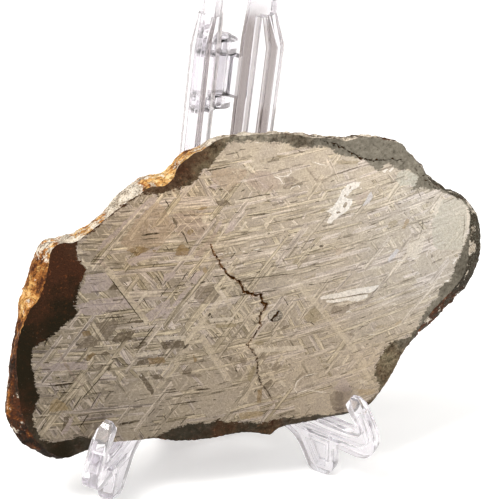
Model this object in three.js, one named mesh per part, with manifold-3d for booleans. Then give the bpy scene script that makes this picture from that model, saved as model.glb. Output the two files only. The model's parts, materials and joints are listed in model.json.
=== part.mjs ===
// Slice of an iron meteorite standing on a folding clear easel.
// Millimetres, Z up. The cut face looks along -Y, and X runs along its width.
import * as THREE from "three";
import { mergeVertices } from "three/addons/utils/BufferGeometryUtils.js";
import Module from "manifold-3d";

const wasm = await Module();
wasm.setup();

const degrees = THREE.MathUtils.degToRad;

// Slice: thickness, how far it leans back, and where the foot of its front face stands
const SLICE_THICKNESS = 6;
const SLICE_LEAN = degrees(12.4);
const SLICE_FOOT = new THREE.Vector3(0, -41.8, 17);
const RIM_SAMPLES = 300;
const RIM_ROWS = [0, 0.07, 0.24, 0.45, 0.66, 0.88, 1];
const RIM_BULGE_AT = 0.45;
const RIM_ROUGHNESS = 0.85;
const EDGE_ROUGHNESS = 0.3;
const LUMP_SPAN = 5;
const FINE_LUMPS = 0.6;
const FINE_LUMPS_SEED = 40;
const CRACK_DEPTH = 1.2;
const CRACK_WIDTH_TOP = 0.9;
const CRACK_WIDTH_FOOT = 0.4;

// Easel: two flat side frames that open like a book round an upright hinge at X = Y = 0
const OPEN_HALF_ANGLE = degrees(41.8);
const FRAME_THICKNESS = 5;
const EDGE_BEVEL = 0.4;
const WEB_THICKNESS = 2;
const LEG_BACK = 7;
const UPRIGHT_FRONT = 19;
const SHOULDER_HEIGHT = 131;
const NECK_HEIGHT = 140;
const NECK_BACK = 7.6;
const NECK_FRONT = 15.2;
const TOP_HEIGHT = 162;
const LEDGE_HEIGHT = 18.9;
const RIM_WIDTH = 3.8;
const RIM_WIDTH_FRONT = 3.6;
const HOOK_TIP_HEIGHT = 29.4;
const TIP_CUT_WIDTH = 1.5;
const TIP_CUT_HEIGHT = 3;
const TIP_CUT_BACK = 54;
const TIP_CUT_LENGTH = 12;
const CUT_SPARE = 0.5;

// Hinge: two ears on the left frame, a barrel on the right one, and a headed pin
const KNUCKLE_RADIUS = 4.6;
const BORE_RADIUS = 1.9;
const PIN_RADIUS = 1.6;
const PIN_HEAD_RADIUS = 2.8;
const PIN_HEAD_HEIGHT = 1;
const EAR_HEIGHT = 3.7;
const EAR_FOOT = 108.5;
const BARREL_HEIGHT = 12.3;
const RUNNING_GAP = 0.4;
const REST_GAP = 0.3;
const ROUND_SIDES = 24;

// Outer edge of the slice, round from its upper left corner: across, up the face, and how far the
// crust stands out of the front edge at half thickness and at the back
const RIM = [
  [-48.3, 63.4, 1.6, 1.3], [-51.9, 63.4, 0.7, 0.2], [-54.6, 61.4, 2.6, 2], [-55.5, 56.8, 3.8, 3.2],
  [-56.6, 51.8, 4.1, 3.5], [-58.3, 47.6, 4.1, 3.5], [-60.6, 44.8, 2.6, 2.1], [-62.4, 41, 0.9, 0.3],
  [-63.8, 36.6, 0.1, -0.3], [-64.4, 30.8, 0.7, 0.3], [-63.9, 22.4, 2.3, 1.5], [-62.8, 15, 4.2, 3.4],
  [-60.6, 9.4, 4, 3.2], [-57.6, 5, 3, 2.2], [-53.8, 1.5, 1.6, 0.6], [-49.6, 0.1, 0.8, -0.4],
  [-45.6, 1.2, 0.3, -1], [-41, 2.6, -0.4, -1.3], [-35.4, 3.1, -0.5, -1.2], [-29, 2.9, -0.2, -1.3],
  [-23, 3.1, 0.2, -0.2], [-16.2, 1.6, 0.3, 0], [-4.5, 1.4, 0.3, 0], [2.5, 2, 0.2, -0.2],
  [8.7, 1.5, 0.2, 0], [13.3, 0.4, 0.3, 0], [16.2, 2.2, 0.2, -0.2], [27, 3.4, 0, -0.4],
  [33.2, 3.9, -0.1, -0.1], [38.5, 4.2, 0, 0], [46.1, 6.5, 0.4, 0], [49.9, 10.5, 0.5, 0.2],
  [54.3, 17.3, 0.5, 0.3], [56.7, 22.1, 0.6, 0.4], [59.9, 26.8, 1.4, 1.4], [62.9, 31.3, 3.5, 3.9],
  [67.1, 36.2, 4.3, 4.9], [73.8, 42.6, 4.2, 4.8], [76.6, 46.4, 4.8, 5.6], [77.8, 50.8, 5.7, 6.7],
  [78, 56.2, 5.6, 7], [77.6, 61, 5.3, 6.7], [76.1, 65.8, 4, 5.2], [74.3, 69.4, 2.2, 2.9],
  [69.4, 72.9, 0.6, 0.6], [62.8, 76.6, 1.7, 1.7], [58.6, 82, 0.8, 0.5], [54.4, 86, 0.4, -0.1],
  [51.4, 88.7, 0.4, -0.4], [46, 90, 0.4, -0.6], [39.2, 90.9, 0.2, -0.8], [33.6, 89.8, 0.8, 0],
  [29, 90.7, 0.3, -0.6], [20.9, 91.2, 0.8, 0], [17, 92.1, 0.2, -0.8], [0, 92.1, 0.2, -0.8],
  [-6, 91.4, 0.3, -0.5], [-10.6, 88.8, 0, -0.4], [-15.1, 86.5, 0.6, 0.4], [-18.5, 83.7, 0.1, -0.1],
  [-19.7, 80.7, 1.5, 1.3], [-22, 78.6, 2.8, 2.5], [-27, 78.1, 2.2, 1.9], [-29.1, 76.7, 2.4, 2.1],
  [-34.4, 73.4, 1.6, 1.3], [-38.4, 70.4, 0.1, -0.1], [-43.6, 66.4, 0.2, 0],
];

// Rusty crack in the cut face, from its upper end down: across, up the face
const CRACK = [
  [-8, 60.6], [-6.4, 57.5], [-4.5, 54.4], [-1.8, 51], [1.3, 49.3], [3, 46.1], [6.6, 44.7], [8.5, 44.6],
  [8.9, 42.4], [10.5, 41.4], [8.4, 38.4], [8.6, 35], [6.8, 32.4], [4.7, 29.5], [6.7, 27.1], [8, 25.2],
  [8.6, 19.8], [10, 16.2], [12.1, 14.1], [14.2, 10.4],
];

// Repeatable random number from 0 to 1 for a pair of whole numbers.
function chance(a, b) {
  const wave = Math.sin(a * 127.1 + b * 311.7) * 43758.5453;
  return wave - Math.floor(wave);
}

// Closed mesh geometry as a solid for joining and cutting.
function solid(geometry) {
  const bare = geometry.clone();
  bare.deleteAttribute("normal");
  bare.deleteAttribute("uv");
  const merged = mergeVertices(bare, 1e-4);
  return new wasm.Manifold(
    new wasm.Mesh({
      numProp: 3,
      vertProperties: merged.attributes.position.array,
      triVerts: new Uint32Array(merged.index.array),
    }),
  );
}

// Mesh geometry of a solid.
function geometryOf(body) {
  const mesh = body.getMesh();
  return new THREE.BufferGeometry()
    .setAttribute("position", new THREE.BufferAttribute(mesh.vertProperties, 3))
    .setIndex(new THREE.BufferAttribute(mesh.triVerts, 1));
}

// Skin over rings of points with the same count, and a flat lid on the first and last. Each ring is
// [x, z] points, counter-clockwise seen from the front, at its own depth y.
function loft(rings) {
  const count = rings[0].points.length;
  const position = rings.flatMap(({ points, depth }) => points.flatMap(([x, z]) => [x, depth, z]));
  const index = [];
  for (let row = 0; row + 1 < rings.length; row++) {
    for (let i = 0; i < count; i++) {
      const next = (i + 1) % count;
      const a = row * count + i;
      const b = row * count + next;
      index.push(a, a + count, b, b, a + count, b + count);
    }
  }
  const lid = ({ points }) =>
    THREE.ShapeUtils.triangulateShape(points.map(([x, z]) => new THREE.Vector2(x, z)), []);
  lid(rings[0]).forEach(([a, b, c]) => index.push(a, b, c));
  const last = (rings.length - 1) * count;
  lid(rings.at(-1)).forEach(([a, b, c]) => index.push(last + a, last + c, last + b));
  return new THREE.BufferGeometry()
    .setAttribute("position", new THREE.Float32BufferAttribute(position, 3))
    .setIndex(index);
}

// Rim sampled evenly along a smooth closed curve: point, outward direction, stand-out at both depths.
function rimSamples() {
  const corners = RIM.map(([x, z]) => new THREE.Vector3(x, z, 0));
  const edge = new THREE.CatmullRomCurve3(corners, true, "centripetal");
  return Array.from({ length: RIM_SAMPLES }, (_, i) => {
    const t = edge.getUtoTmapping(i / RIM_SAMPLES);
    const at = edge.getPoint(t);
    const along = edge.getTangent(t);
    const place = t * RIM.length;
    const from = RIM[Math.floor(place) % RIM.length];
    const to = RIM[(Math.floor(place) + 1) % RIM.length];
    const share = place % 1;
    return {
      at,
      out: new THREE.Vector2(along.y, -along.x).normalize(),
      middle: THREE.MathUtils.lerp(from[2], to[2], share),
      back: THREE.MathUtils.lerp(from[3], to[3], share),
    };
  });
}

// Crust lumps: random heights on a coarse and a fine grid round the rim.
function crag(i, row) {
  const coarse = chance(Math.floor(i / LUMP_SPAN), row) - 0.5;
  const fine = chance(i, row + FINE_LUMPS_SEED) - 0.5;
  return coarse + FINE_LUMPS * fine;
}

function sliceBlank() {
  const samples = rimSamples();
  const rings = RIM_ROWS.map((share, row) => {
    const flat = row === 0 || row === RIM_ROWS.length - 1;
    const rough = flat ? EDGE_ROUGHNESS : RIM_ROUGHNESS;
    const points = samples.map(({ at, out, middle, back }, i) => {
      const stand =
        share < RIM_BULGE_AT
          ? middle * (share / RIM_BULGE_AT)
          : THREE.MathUtils.mapLinear(share, RIM_BULGE_AT, 1, middle, back);
      const reach = stand + rough * crag(i, row);
      return [at.x + out.x * reach, at.y + out.y * reach];
    });
    return { points, depth: share * SLICE_THICKNESS };
  });
  return solid(loft(rings));
}

// Narrow zigzag wedge along the crack, wide at the upper end and thin at the foot.
function crackWedge() {
  const last = CRACK.length - 1;
  const side = (sign) =>
    CRACK.map(([x, z], i) => {
      const [x0, z0] = CRACK[Math.max(i - 1, 0)];
      const [x1, z1] = CRACK[Math.min(i + 1, last)];
      const run = Math.hypot(x1 - x0, z1 - z0);
      const half = THREE.MathUtils.lerp(CRACK_WIDTH_TOP, CRACK_WIDTH_FOOT, i / last) / 2;
      return [x - (sign * half * (z1 - z0)) / run, z + (sign * half * (x1 - x0)) / run];
    });
  const outline = [...side(-1), ...side(1).reverse()];
  return solid(
    loft([
      { points: outline, depth: -CUT_SPARE },
      { points: outline, depth: CRACK_DEPTH },
    ]),
  );
}

// Flat plate of the frame's outline, standing on edge: x forward from the hinge, z up.
function plate(shape, thickness, centre, bevel) {
  const geometry = new THREE.ExtrudeGeometry(shape, {
    depth: thickness - 2 * bevel,
    bevelEnabled: bevel > 0,
    bevelThickness: bevel,
    bevelSize: bevel,
    bevelOffset: -bevel,
    bevelSegments: 1,
    curveSegments: 5,
  });
  geometry.translate(0, 0, centre - thickness / 2 + bevel);
  geometry.rotateX(Math.PI / 2);
  return solid(geometry);
}

// Side frame in outline: rear leg, arched arm, front foot, hook, ledge, upright, neck and round top.
function frameOutline() {
  const s = new THREE.Shape();
  s.moveTo(8.4, 0);
  s.lineTo(15, 0);
  s.quadraticCurveTo(17.4, 0.3, 18.4, 3.2);
  s.bezierCurveTo(21.5, 10.5, 27, 13, 33, 12.6);
  s.bezierCurveTo(38, 12, 41.5, 10.6, 43.6, 7.8);
  s.lineTo(47.4, 2);
  s.quadraticCurveTo(48.8, 0, 50.4, 0);
  s.lineTo(53.6, 0);
  s.bezierCurveTo(55.6, 0.2, 56.4, 2, 56.2, 4.4);
  s.lineTo(55.3, 8.8);
  s.quadraticCurveTo(55, 10.9, 57.2, 10.6);
  s.lineTo(62.6, 10.2);
  s.bezierCurveTo(66.8, 10, 68.9, 12.8, 68.2, 16.2);
  s.quadraticCurveTo(67.4, 19.6, 65.2, 23);
  s.lineTo(62, 27.6);
  s.lineTo(60, HOOK_TIP_HEIGHT);
  s.lineTo(57.8, HOOK_TIP_HEIGHT - 0.2);
  s.lineTo(56.8, 26.8);
  s.bezierCurveTo(58, 24.2, 60.4, 22.4, 61, 20.4);
  s.quadraticCurveTo(61.3, 18.4, 58.6, 18.3);
  s.quadraticCurveTo(55, 18.3, 52, LEDGE_HEIGHT);
  s.lineTo(29, LEDGE_HEIGHT);
  s.bezierCurveTo(22.5, LEDGE_HEIGHT + 0.6, UPRIGHT_FRONT, 24, UPRIGHT_FRONT, 31);
  s.lineTo(UPRIGHT_FRONT, SHOULDER_HEIGHT);
  s.quadraticCurveTo(16.8, SHOULDER_HEIGHT + 4.6, NECK_FRONT, NECK_HEIGHT);
  s.lineTo(NECK_FRONT, TOP_HEIGHT - 4);
  s.quadraticCurveTo(NECK_FRONT, TOP_HEIGHT, NECK_FRONT - 3.8, TOP_HEIGHT);
  s.quadraticCurveTo(NECK_BACK, TOP_HEIGHT, NECK_BACK, TOP_HEIGHT - 4);
  s.lineTo(NECK_BACK, NECK_HEIGHT);
  s.lineTo(LEG_BACK, SHOULDER_HEIGHT);
  s.lineTo(LEG_BACK, 1.6);
  s.quadraticCurveTo(LEG_BACK, 0, 8.4, 0);
  return s;
}

// Hollows between the raised edges: up the leg, along the arm and hook, and in the foot.
function hollowOutlines() {
  const back = LEG_BACK + RIM_WIDTH;
  const front = UPRIGHT_FRONT - RIM_WIDTH_FRONT;
  const leg = new THREE.Shape();
  leg.moveTo(back, 6);
  leg.lineTo(14, 6);
  leg.quadraticCurveTo(front, 12, front, 20);
  leg.lineTo(front, SHOULDER_HEIGHT - 1);
  leg.lineTo(13.2, NECK_HEIGHT - 1.6);
  leg.lineTo(NECK_BACK + 3.4, NECK_HEIGHT - 1.6);
  leg.closePath();
  const arm = new THREE.Shape();
  arm.moveTo(24, 15);
  arm.quadraticCurveTo(32, 15.8, 44, 13.4);
  arm.lineTo(62, 13);
  arm.quadraticCurveTo(65.4, 13.4, 65, 16.4);
  arm.lineTo(59.6, 26);
  arm.lineTo(59.2, 25.4);
  arm.quadraticCurveTo(63, 20.6, 63.2, 18.4);
  arm.quadraticCurveTo(62.4, 15.8, 57, 15.8);
  arm.quadraticCurveTo(50, 15.8, 46, 16.4);
  arm.lineTo(24, 16.4);
  arm.closePath();
  const foot = new THREE.Shape();
  foot.moveTo(50.4, 3);
  foot.lineTo(53.4, 3.4);
  foot.lineTo(52.6, 10.6);
  foot.lineTo(45.8, 10.6);
  foot.closePath();
  return [leg, arm, foot];
}

// Slanted wedge that cuts one corner off the hook's tip; side is +1 or -1 across the thickness.
function tipCut(side) {
  const low = HOOK_TIP_HEIGHT - TIP_CUT_HEIGHT;
  const edge = side * (FRAME_THICKNESS / 2);
  const wedge = new THREE.Shape();
  wedge.moveTo(edge, low);
  wedge.lineTo(edge, HOOK_TIP_HEIGHT + 1);
  wedge.lineTo(edge - side * TIP_CUT_WIDTH, HOOK_TIP_HEIGHT + 1);
  wedge.lineTo(edge - side * TIP_CUT_WIDTH, HOOK_TIP_HEIGHT);
  wedge.closePath();
  const geometry = new THREE.ExtrudeGeometry(wedge, { depth: TIP_CUT_LENGTH, bevelEnabled: false });
  geometry.rotateX(Math.PI / 2);
  geometry.rotateZ(Math.PI / 2);
  geometry.translate(TIP_CUT_BACK, 0, 0);
  return solid(geometry);
}

function sideFrame() {
  const depth = (FRAME_THICKNESS - WEB_THICKNESS) / 2;
  const centre = FRAME_THICKNESS / 2 - depth / 2 + CUT_SPARE / 2;
  let frame = plate(frameOutline(), FRAME_THICKNESS, 0, EDGE_BEVEL);
  for (const outline of hollowOutlines()) {
    frame = frame.subtract(plate(outline, depth + CUT_SPARE, centre, 0));
    frame = frame.subtract(plate(outline, depth + CUT_SPARE, -centre, 0));
  }
  return frame.subtract(tipCut(1)).subtract(tipCut(-1));
}

// Upright cylinder round the hinge line, standing at a height.
function post(radius, height, foot) {
  const geometry = new THREE.CylinderGeometry(radius, radius, height, ROUND_SIDES);
  geometry.rotateX(Math.PI / 2);
  geometry.translate(0, 0, foot + height / 2);
  return geometry;
}

// Hinge knuckle round the hinge line, with the block that joins it to the leg.
function knuckle(foot, height) {
  const block = new THREE.BoxGeometry(LEG_BACK + 1, FRAME_THICKNESS - 2 * EDGE_BEVEL, height);
  block.translate((LEG_BACK + 1) / 2, 0, foot + height / 2);
  return solid(post(KNUCKLE_RADIUS, height, foot)).add(solid(block));
}

function bore() {
  return solid(post(BORE_RADIUS, TOP_HEIGHT, 0));
}

function pin() {
  const length = 2 * EAR_HEIGHT + 2 * RUNNING_GAP + BARREL_HEIGHT + REST_GAP;
  const head = post(PIN_HEAD_RADIUS, PIN_HEAD_HEIGHT, EAR_FOOT + length);
  return solid(post(PIN_RADIUS, length + PIN_HEAD_HEIGHT / 2, EAR_FOOT)).add(solid(head));
}

function clearPlastic() {
  return new THREE.MeshStandardMaterial({
    color: 0xeee9f2,
    roughness: 0.08,
    metalness: 0,
    transparent: true,
    opacity: 0.35,
  });
}

function piece(name, body, material) {
  const mesh = new THREE.Mesh(geometryOf(body), material);
  mesh.name = name;
  return mesh;
}

const slice = piece(
  "meteorite_slice",
  sliceBlank().subtract(crackWedge()),
  new THREE.MeshStandardMaterial({ color: 0xa59b8e, roughness: 0.42, metalness: 0.75 }),
);
slice.position.copy(SLICE_FOOT);
slice.rotation.x = -SLICE_LEAN;

const barrelFoot = EAR_FOOT + EAR_HEIGHT + RUNNING_GAP;
const upperEarFoot = barrelFoot + BARREL_HEIGHT + RUNNING_GAP;

const left = piece(
  "easel_frame_left",
  sideFrame().add(knuckle(EAR_FOOT, EAR_HEIGHT)).add(knuckle(upperEarFoot, EAR_HEIGHT)).subtract(bore()),
  clearPlastic(),
);
left.rotation.z = -Math.PI / 2 - OPEN_HALF_ANGLE;

const right = piece(
  "easel_frame_right",
  sideFrame().add(knuckle(barrelFoot, BARREL_HEIGHT)).subtract(bore()),
  clearPlastic(),
);
right.rotation.z = -Math.PI / 2 + OPEN_HALF_ANGLE;

const easel = new THREE.Group();
easel.add(left, right, piece("hinge_pin", pin(), clearPlastic()));

// The whole stands on Z = 0 with its box centred on the Z axis.
const standing = new THREE.Group();
standing.add(slice, easel);
const box = new THREE.Box3().setFromObject(standing, true);
const centre = box.getCenter(new THREE.Vector3());
standing.position.set(-centre.x, -centre.y, -box.min.z);

const part = new THREE.Group();
part.add(standing);
export default part;
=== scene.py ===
"""Slice of an etched iron meteorite standing on a clear folding easel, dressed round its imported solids."""

import json
import math

import bmesh
import bpy
import numpy as np
from bpy.props import FloatProperty, FloatVectorProperty, IntProperty, PointerProperty
from mathutils import Matrix, Vector, noise
from mathutils.geometry import delaunay_2d_cdt


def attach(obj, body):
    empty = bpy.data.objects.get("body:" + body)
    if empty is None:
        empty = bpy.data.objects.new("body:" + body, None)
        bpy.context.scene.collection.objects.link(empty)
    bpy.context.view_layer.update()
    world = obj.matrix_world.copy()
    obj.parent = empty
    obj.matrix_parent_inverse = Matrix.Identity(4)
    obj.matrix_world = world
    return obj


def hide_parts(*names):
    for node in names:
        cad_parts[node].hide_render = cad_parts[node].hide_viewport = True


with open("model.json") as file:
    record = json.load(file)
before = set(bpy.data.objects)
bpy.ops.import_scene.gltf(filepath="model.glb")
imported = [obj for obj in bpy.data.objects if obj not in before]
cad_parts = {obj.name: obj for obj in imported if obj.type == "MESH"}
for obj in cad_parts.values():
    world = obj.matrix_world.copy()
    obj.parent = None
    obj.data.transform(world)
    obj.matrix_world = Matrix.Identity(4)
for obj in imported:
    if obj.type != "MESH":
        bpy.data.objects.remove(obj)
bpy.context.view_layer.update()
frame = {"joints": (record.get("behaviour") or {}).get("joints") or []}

bl_info = {
    "name": "Meteorite slice on an easel",
    "version": (1, 0, 0),
    "blender": (4, 5, 0),
    "location": "3D View > Sidebar > Meteorite",
    "description": "Builds an etched iron meteorite slice, its clear easel and a plain studio",
    "category": "Add Mesh",
}

MM = 0.001

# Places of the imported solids: the easel's hinge line, and the foot of the slice's front face
HINGE = Vector(frame["joints"][0]["pos_m"])
SLICE_FORWARD = 41.8
SLICE_LIFT = 17.0
SLICE_FOOT = Vector((HINGE.x, HINGE.y - SLICE_FORWARD * MM, SLICE_LIFT * MM))
SLICE_LEAN = math.radians(12.4)
SLICE_THICKNESS = 6.0
OPEN_HALF_ANGLE = math.radians(41.8)

# Outer edge of the slice in mm, round from its upper left corner: across, up the face, and how far
# the crust stands out of the front edge at half thickness and at the back
RIM = [
    (-48.3, 63.4, 1.6, 1.3), (-51.9, 63.4, 0.7, 0.2), (-54.6, 61.4, 2.6, 2), (-55.5, 56.8, 3.8, 3.2),
    (-56.6, 51.8, 4.1, 3.5), (-58.3, 47.6, 4.1, 3.5), (-60.6, 44.8, 2.6, 2.1), (-62.4, 41, 0.9, 0.3),
    (-63.8, 36.6, 0.1, -0.3), (-64.4, 30.8, 0.7, 0.3), (-63.9, 22.4, 2.3, 1.5), (-62.8, 15, 4.2, 3.4),
    (-60.6, 9.4, 4, 3.2), (-57.6, 5, 3, 2.2), (-53.8, 1.5, 1.6, 0.6), (-49.6, 0.1, 0.8, -0.4),
    (-45.6, 1.2, 0.3, -1), (-41, 2.6, -0.4, -1.3), (-35.4, 3.1, -0.5, -1.2), (-29, 2.9, -0.2, -1.3),
    (-23, 3.1, 0.2, -0.2), (-16.2, 1.6, 0.3, 0), (-4.5, 1.4, 0.3, 0), (2.5, 2, 0.2, -0.2),
    (8.7, 1.5, 0.2, 0), (13.3, 0.4, 0.3, 0), (16.2, 2.2, 0.2, -0.2), (27, 3.4, 0, -0.4),
    (33.2, 3.9, -0.1, -0.1), (38.5, 4.2, 0, 0), (46.1, 6.5, 0.4, 0), (49.9, 10.5, 0.5, 0.2),
    (54.3, 17.3, 0.5, 0.3), (56.7, 22.1, 0.6, 0.4), (59.9, 26.8, 1.4, 1.4), (62.9, 31.3, 3.5, 3.9),
    (67.1, 36.2, 4.3, 4.9), (73.8, 42.6, 4.2, 4.8), (76.6, 46.4, 4.8, 5.6), (77.8, 50.8, 5.7, 6.7),
    (78, 56.2, 5.6, 7), (77.6, 61, 5.3, 6.7), (76.1, 65.8, 4, 5.2), (74.3, 69.4, 2.2, 2.9),
    (69.4, 72.9, 0.6, 0.6), (62.8, 76.6, 1.7, 1.7), (58.6, 82, 0.8, 0.5), (54.4, 86, 0.4, -0.1),
    (51.4, 88.7, 0.4, -0.4), (46, 90, 0.4, -0.6), (39.2, 90.9, 0.2, -0.8), (33.6, 89.8, 0.8, 0),
    (29, 90.7, 0.3, -0.6), (20.9, 91.2, 0.8, 0), (17, 92.1, 0.2, -0.8), (0, 92.1, 0.2, -0.8),
    (-6, 91.4, 0.3, -0.5), (-10.6, 88.8, 0, -0.4), (-15.1, 86.5, 0.6, 0.4), (-18.5, 83.7, 0.1, -0.1),
    (-19.7, 80.7, 1.5, 1.3), (-22, 78.6, 2.8, 2.5), (-27, 78.1, 2.2, 1.9), (-29.1, 76.7, 2.4, 2.1),
    (-34.4, 73.4, 1.6, 1.3), (-38.4, 70.4, 0.1, -0.1), (-43.6, 66.4, 0.2, 0),
]

# Cracks in the cut face, from the upper end: depth, widths along it, and points across and up
CRACKS = [
    (0.9, (0.16, 0.45, 0.55, 0.5, 0.2, 0.2, 0.12), [
        (-8, 60.6), (-6.4, 57.5), (-4.5, 54.4), (-1.8, 51), (1.3, 49.3), (3, 46.1), (6.6, 44.7),
        (8.5, 44.6), (8.9, 42.4), (10.5, 41.4), (8.4, 38.4), (8.6, 35), (6.8, 32.4), (4.7, 29.5),
        (6.7, 27.1), (8, 25.2), (8.6, 19.8), (10, 16.2), (12.1, 14.1), (14.2, 10.4),
    ]),
    (0.8, (0.2, 0.42, 0.2), [
        (25, 90.2), (28, 89.6), (32.7, 87.9), (36.4, 85.7), (39.5, 84.2), (44.5, 83.7), (48.8, 84),
        (53.6, 83.2),
    ]),
    (0.6, (0.42, 0.3, 0.16), [(60.2, 78.4), (62.7, 75.5), (66.3, 74.2)]),
    (0.5, (0.25, 0.4, 0.2), [(57, 80.9), (58, 79.8), (59.2, 78.2)]),
    (0.4, (0.25, 0.25), [(42.4, 88.8), (44.6, 87.2)]),
    (0.4, (0.22, 0.12), [(-55.4, 36.4), (-56.6, 33.6), (-57.6, 32)]),
]

# Raggedness of the cracks: least share of their width, and how much it swells and shrinks
CRACK_LEAST = 0.55
CRACK_RAG = 1.2

# Grey inclusion beside the crack: centre, half sizes, depth of its bed, and its slit: depth, half
# width, the direction across it, how far it lies off the centre, and the share of the oval it spans
NODULE = Vector((13.3, 37.9))
NODULE_HALF = (2.5, 1.95)
NODULE_BED = 0.12
NODULE_SLIT = 1.0
NODULE_SLIT_HALF = 0.3
NODULE_ACROSS = (0.8, -0.6)
NODULE_SLIT_OFF = 0.2
NODULE_SLIT_SPAN = 0.95

# Where the etched figures end and the matte zone begins, round the face: across, up
ZONE_EDGE = [
    (-47.4, 64.6), (-47.1, 59.8), (-44.4, 55.6), (-45.6, 51.9), (-46.7, 49.7), (-47.5, 46.6),
    (-47.2, 41.9), (-52, 38.7), (-55.4, 36.1), (-59.7, 33.2), (-60, 29.7), (-57.7, 19.8),
    (-59.7, 12.9), (-57.3, 6.6), (-51.8, 5.4), (-46.3, 6.4), (-41.5, 5.6), (-37, 3.4), (-32.2, 3),
    (-27.9, 3.5), (-23, 4), (-17.2, 6), (-12.3, 6.7), (-6.9, 6.3), (-3.8, 7.3), (-1.8, 6.1),
    (4.6, 5.5), (12.5, 4.7), (16, 5.7), (23.3, 5.4), (33.1, 4.9), (40, 5.4), (44.4, 7), (47.8, 9.4),
    (49.6, 11), (49, 13.4), (47.5, 16.3), (48, 20.2), (50.1, 24.2), (52.4, 26.6), (54.7, 27.6),
    (59.2, 28), (61.8, 31), (62.9, 33.7), (65.2, 38.2), (67.9, 39.7), (68.3, 43.2), (72.1, 45.2),
    (73.1, 49.6), (75.3, 54.3), (76.1, 56.8), (77.6, 60.9), (77.4, 65.4), (75.2, 69.6), (70, 72.2),
    (68.4, 73), (64.2, 74), (59, 74.8), (55, 72.5), (57.5, 76.1), (58.4, 78.2), (55.5, 79.9),
    (50.7, 80.3), (48.6, 82.5), (46.6, 82), (45.2, 80.2), (40.5, 83.4), (36.1, 85), (31.2, 85.4),
    (29.5, 87.3), (27.2, 88.2), (19.2, 88), (16.6, 88.4), (14.4, 89.6), (3.1, 90.2), (-3.6, 90.2),
    (-4.2, 88.8), (-6.8, 86.4), (-8.5, 83.6), (-11.2, 81.9), (-12.9, 79.1), (-17.1, 77.5), (-21.9, 76.7),
    (-22.4, 75.5), (-25, 75.9), (-27.6, 76.3), (-30.4, 75.3), (-34.3, 72.6), (-39.2, 69),
    (-43, 65.8), (-46.3, 64.5),
]

# Colour of the matte zone near some places: across, up, how brown and how light
ZONE_TINTS = [
    (-52, 61, 0.95, 0), (-48, 61, 0.85, 0.02), (-54, 56, 1, 0), (-50.7, 56, 0.85, 0),
    (-46.5, 55.5, 0.8, 0), (-55, 50, 0.6, 0), (-51.5, 50, 0.75, 0), (-47.5, 50, 0.3, 0),
    (-56.5, 44.5, 0.6, 0), (-53, 44, 0.35, 0), (-50, 45.5, 0.1, 0), (-59, 39, 0.3, 0),
    (-56, 39, 0.05, 0), (-52.6, 40, 0.05, 0), (-61, 32, 0.1, 0), (-62, 24.7, 0.1, 0),
    (-60.5, 21.6, 0.1, 0), (-62, 15.8, 0.45, 0), (-60.5, 11, 0.3, 0.04), (-57.6, 6.3, 0.3, 0.06),
    (-51.8, 3, 0.1, 0), (-44.5, 3, 0.2, 0.08), (-36, 3, 0.1, 0.05), (-25, 4.3, 0.4, 0.08),
    (-17, 4.4, 0.15, 0.05), (-9.4, 4.5, 0.2, 0.05), (-1.4, 4.3, 0.6, 0.04), (6.6, 4.1, 0.3, 0.06),
    (13, 3.8, 0.6, 0.07), (19.7, 4.4, 0.25, 0.1), (30, 4, 0.2, 0.12), (40, 5, 0.2, 0.12),
    (48, 12, 0.45, 0.22), (51, 17.6, 0.5, 0.26), (52, 22.4, 0.5, 0.36), (58, 28, 0.3, 0.3),
    (66, 36, 0.05, 0.46), (74, 43.5, 0.05, 0.46), (77.6, 48, 0.05, 0.32), (78.5, 56, 0.05, 0.38),
    (77.5, 66, 0.05, 0.5), (71.7, 71.6, 0, 0.66), (66.3, 73.9, 0.05, 0.58), (60.9, 76.6, 0, 0.56),
    (55.5, 80.5, 0, 0.66), (51.8, 84.2, 0, 0.58), (48.3, 86.8, 0, 0.58), (41.6, 86.9, 0, 0.56),
    (35, 88.3, 0, 0.58), (28.4, 89.4, 0.1, 0.4), (18.8, 90.2, 0.35, 0.32), (9.3, 91.3, 0.3, 0.5),
    (0, 91, 0.3, 0.55), (-7.5, 90.2, 0.4, 0.24), (-12.2, 87.3, 1.6, 0.1), (-15.2, 85.6, 2.2, 0.06),
    (-17.5, 83.2, 1.5, 0), (-18.2, 80.5, 0.9, 0.04), (-9.5, 86, 0.3, 0.24), (-12.5, 83, 0.3, 0.2),
    (-15.5, 80, 0.45, 0.16), (-20.5, 77.6, 0.8, 0.1), (-26, 77, 0.6, 0.1), (-36.6, 71.2, 0.9, 0.03),
    (-42.6, 66.4, 0.9, 0.03),
]

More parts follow.
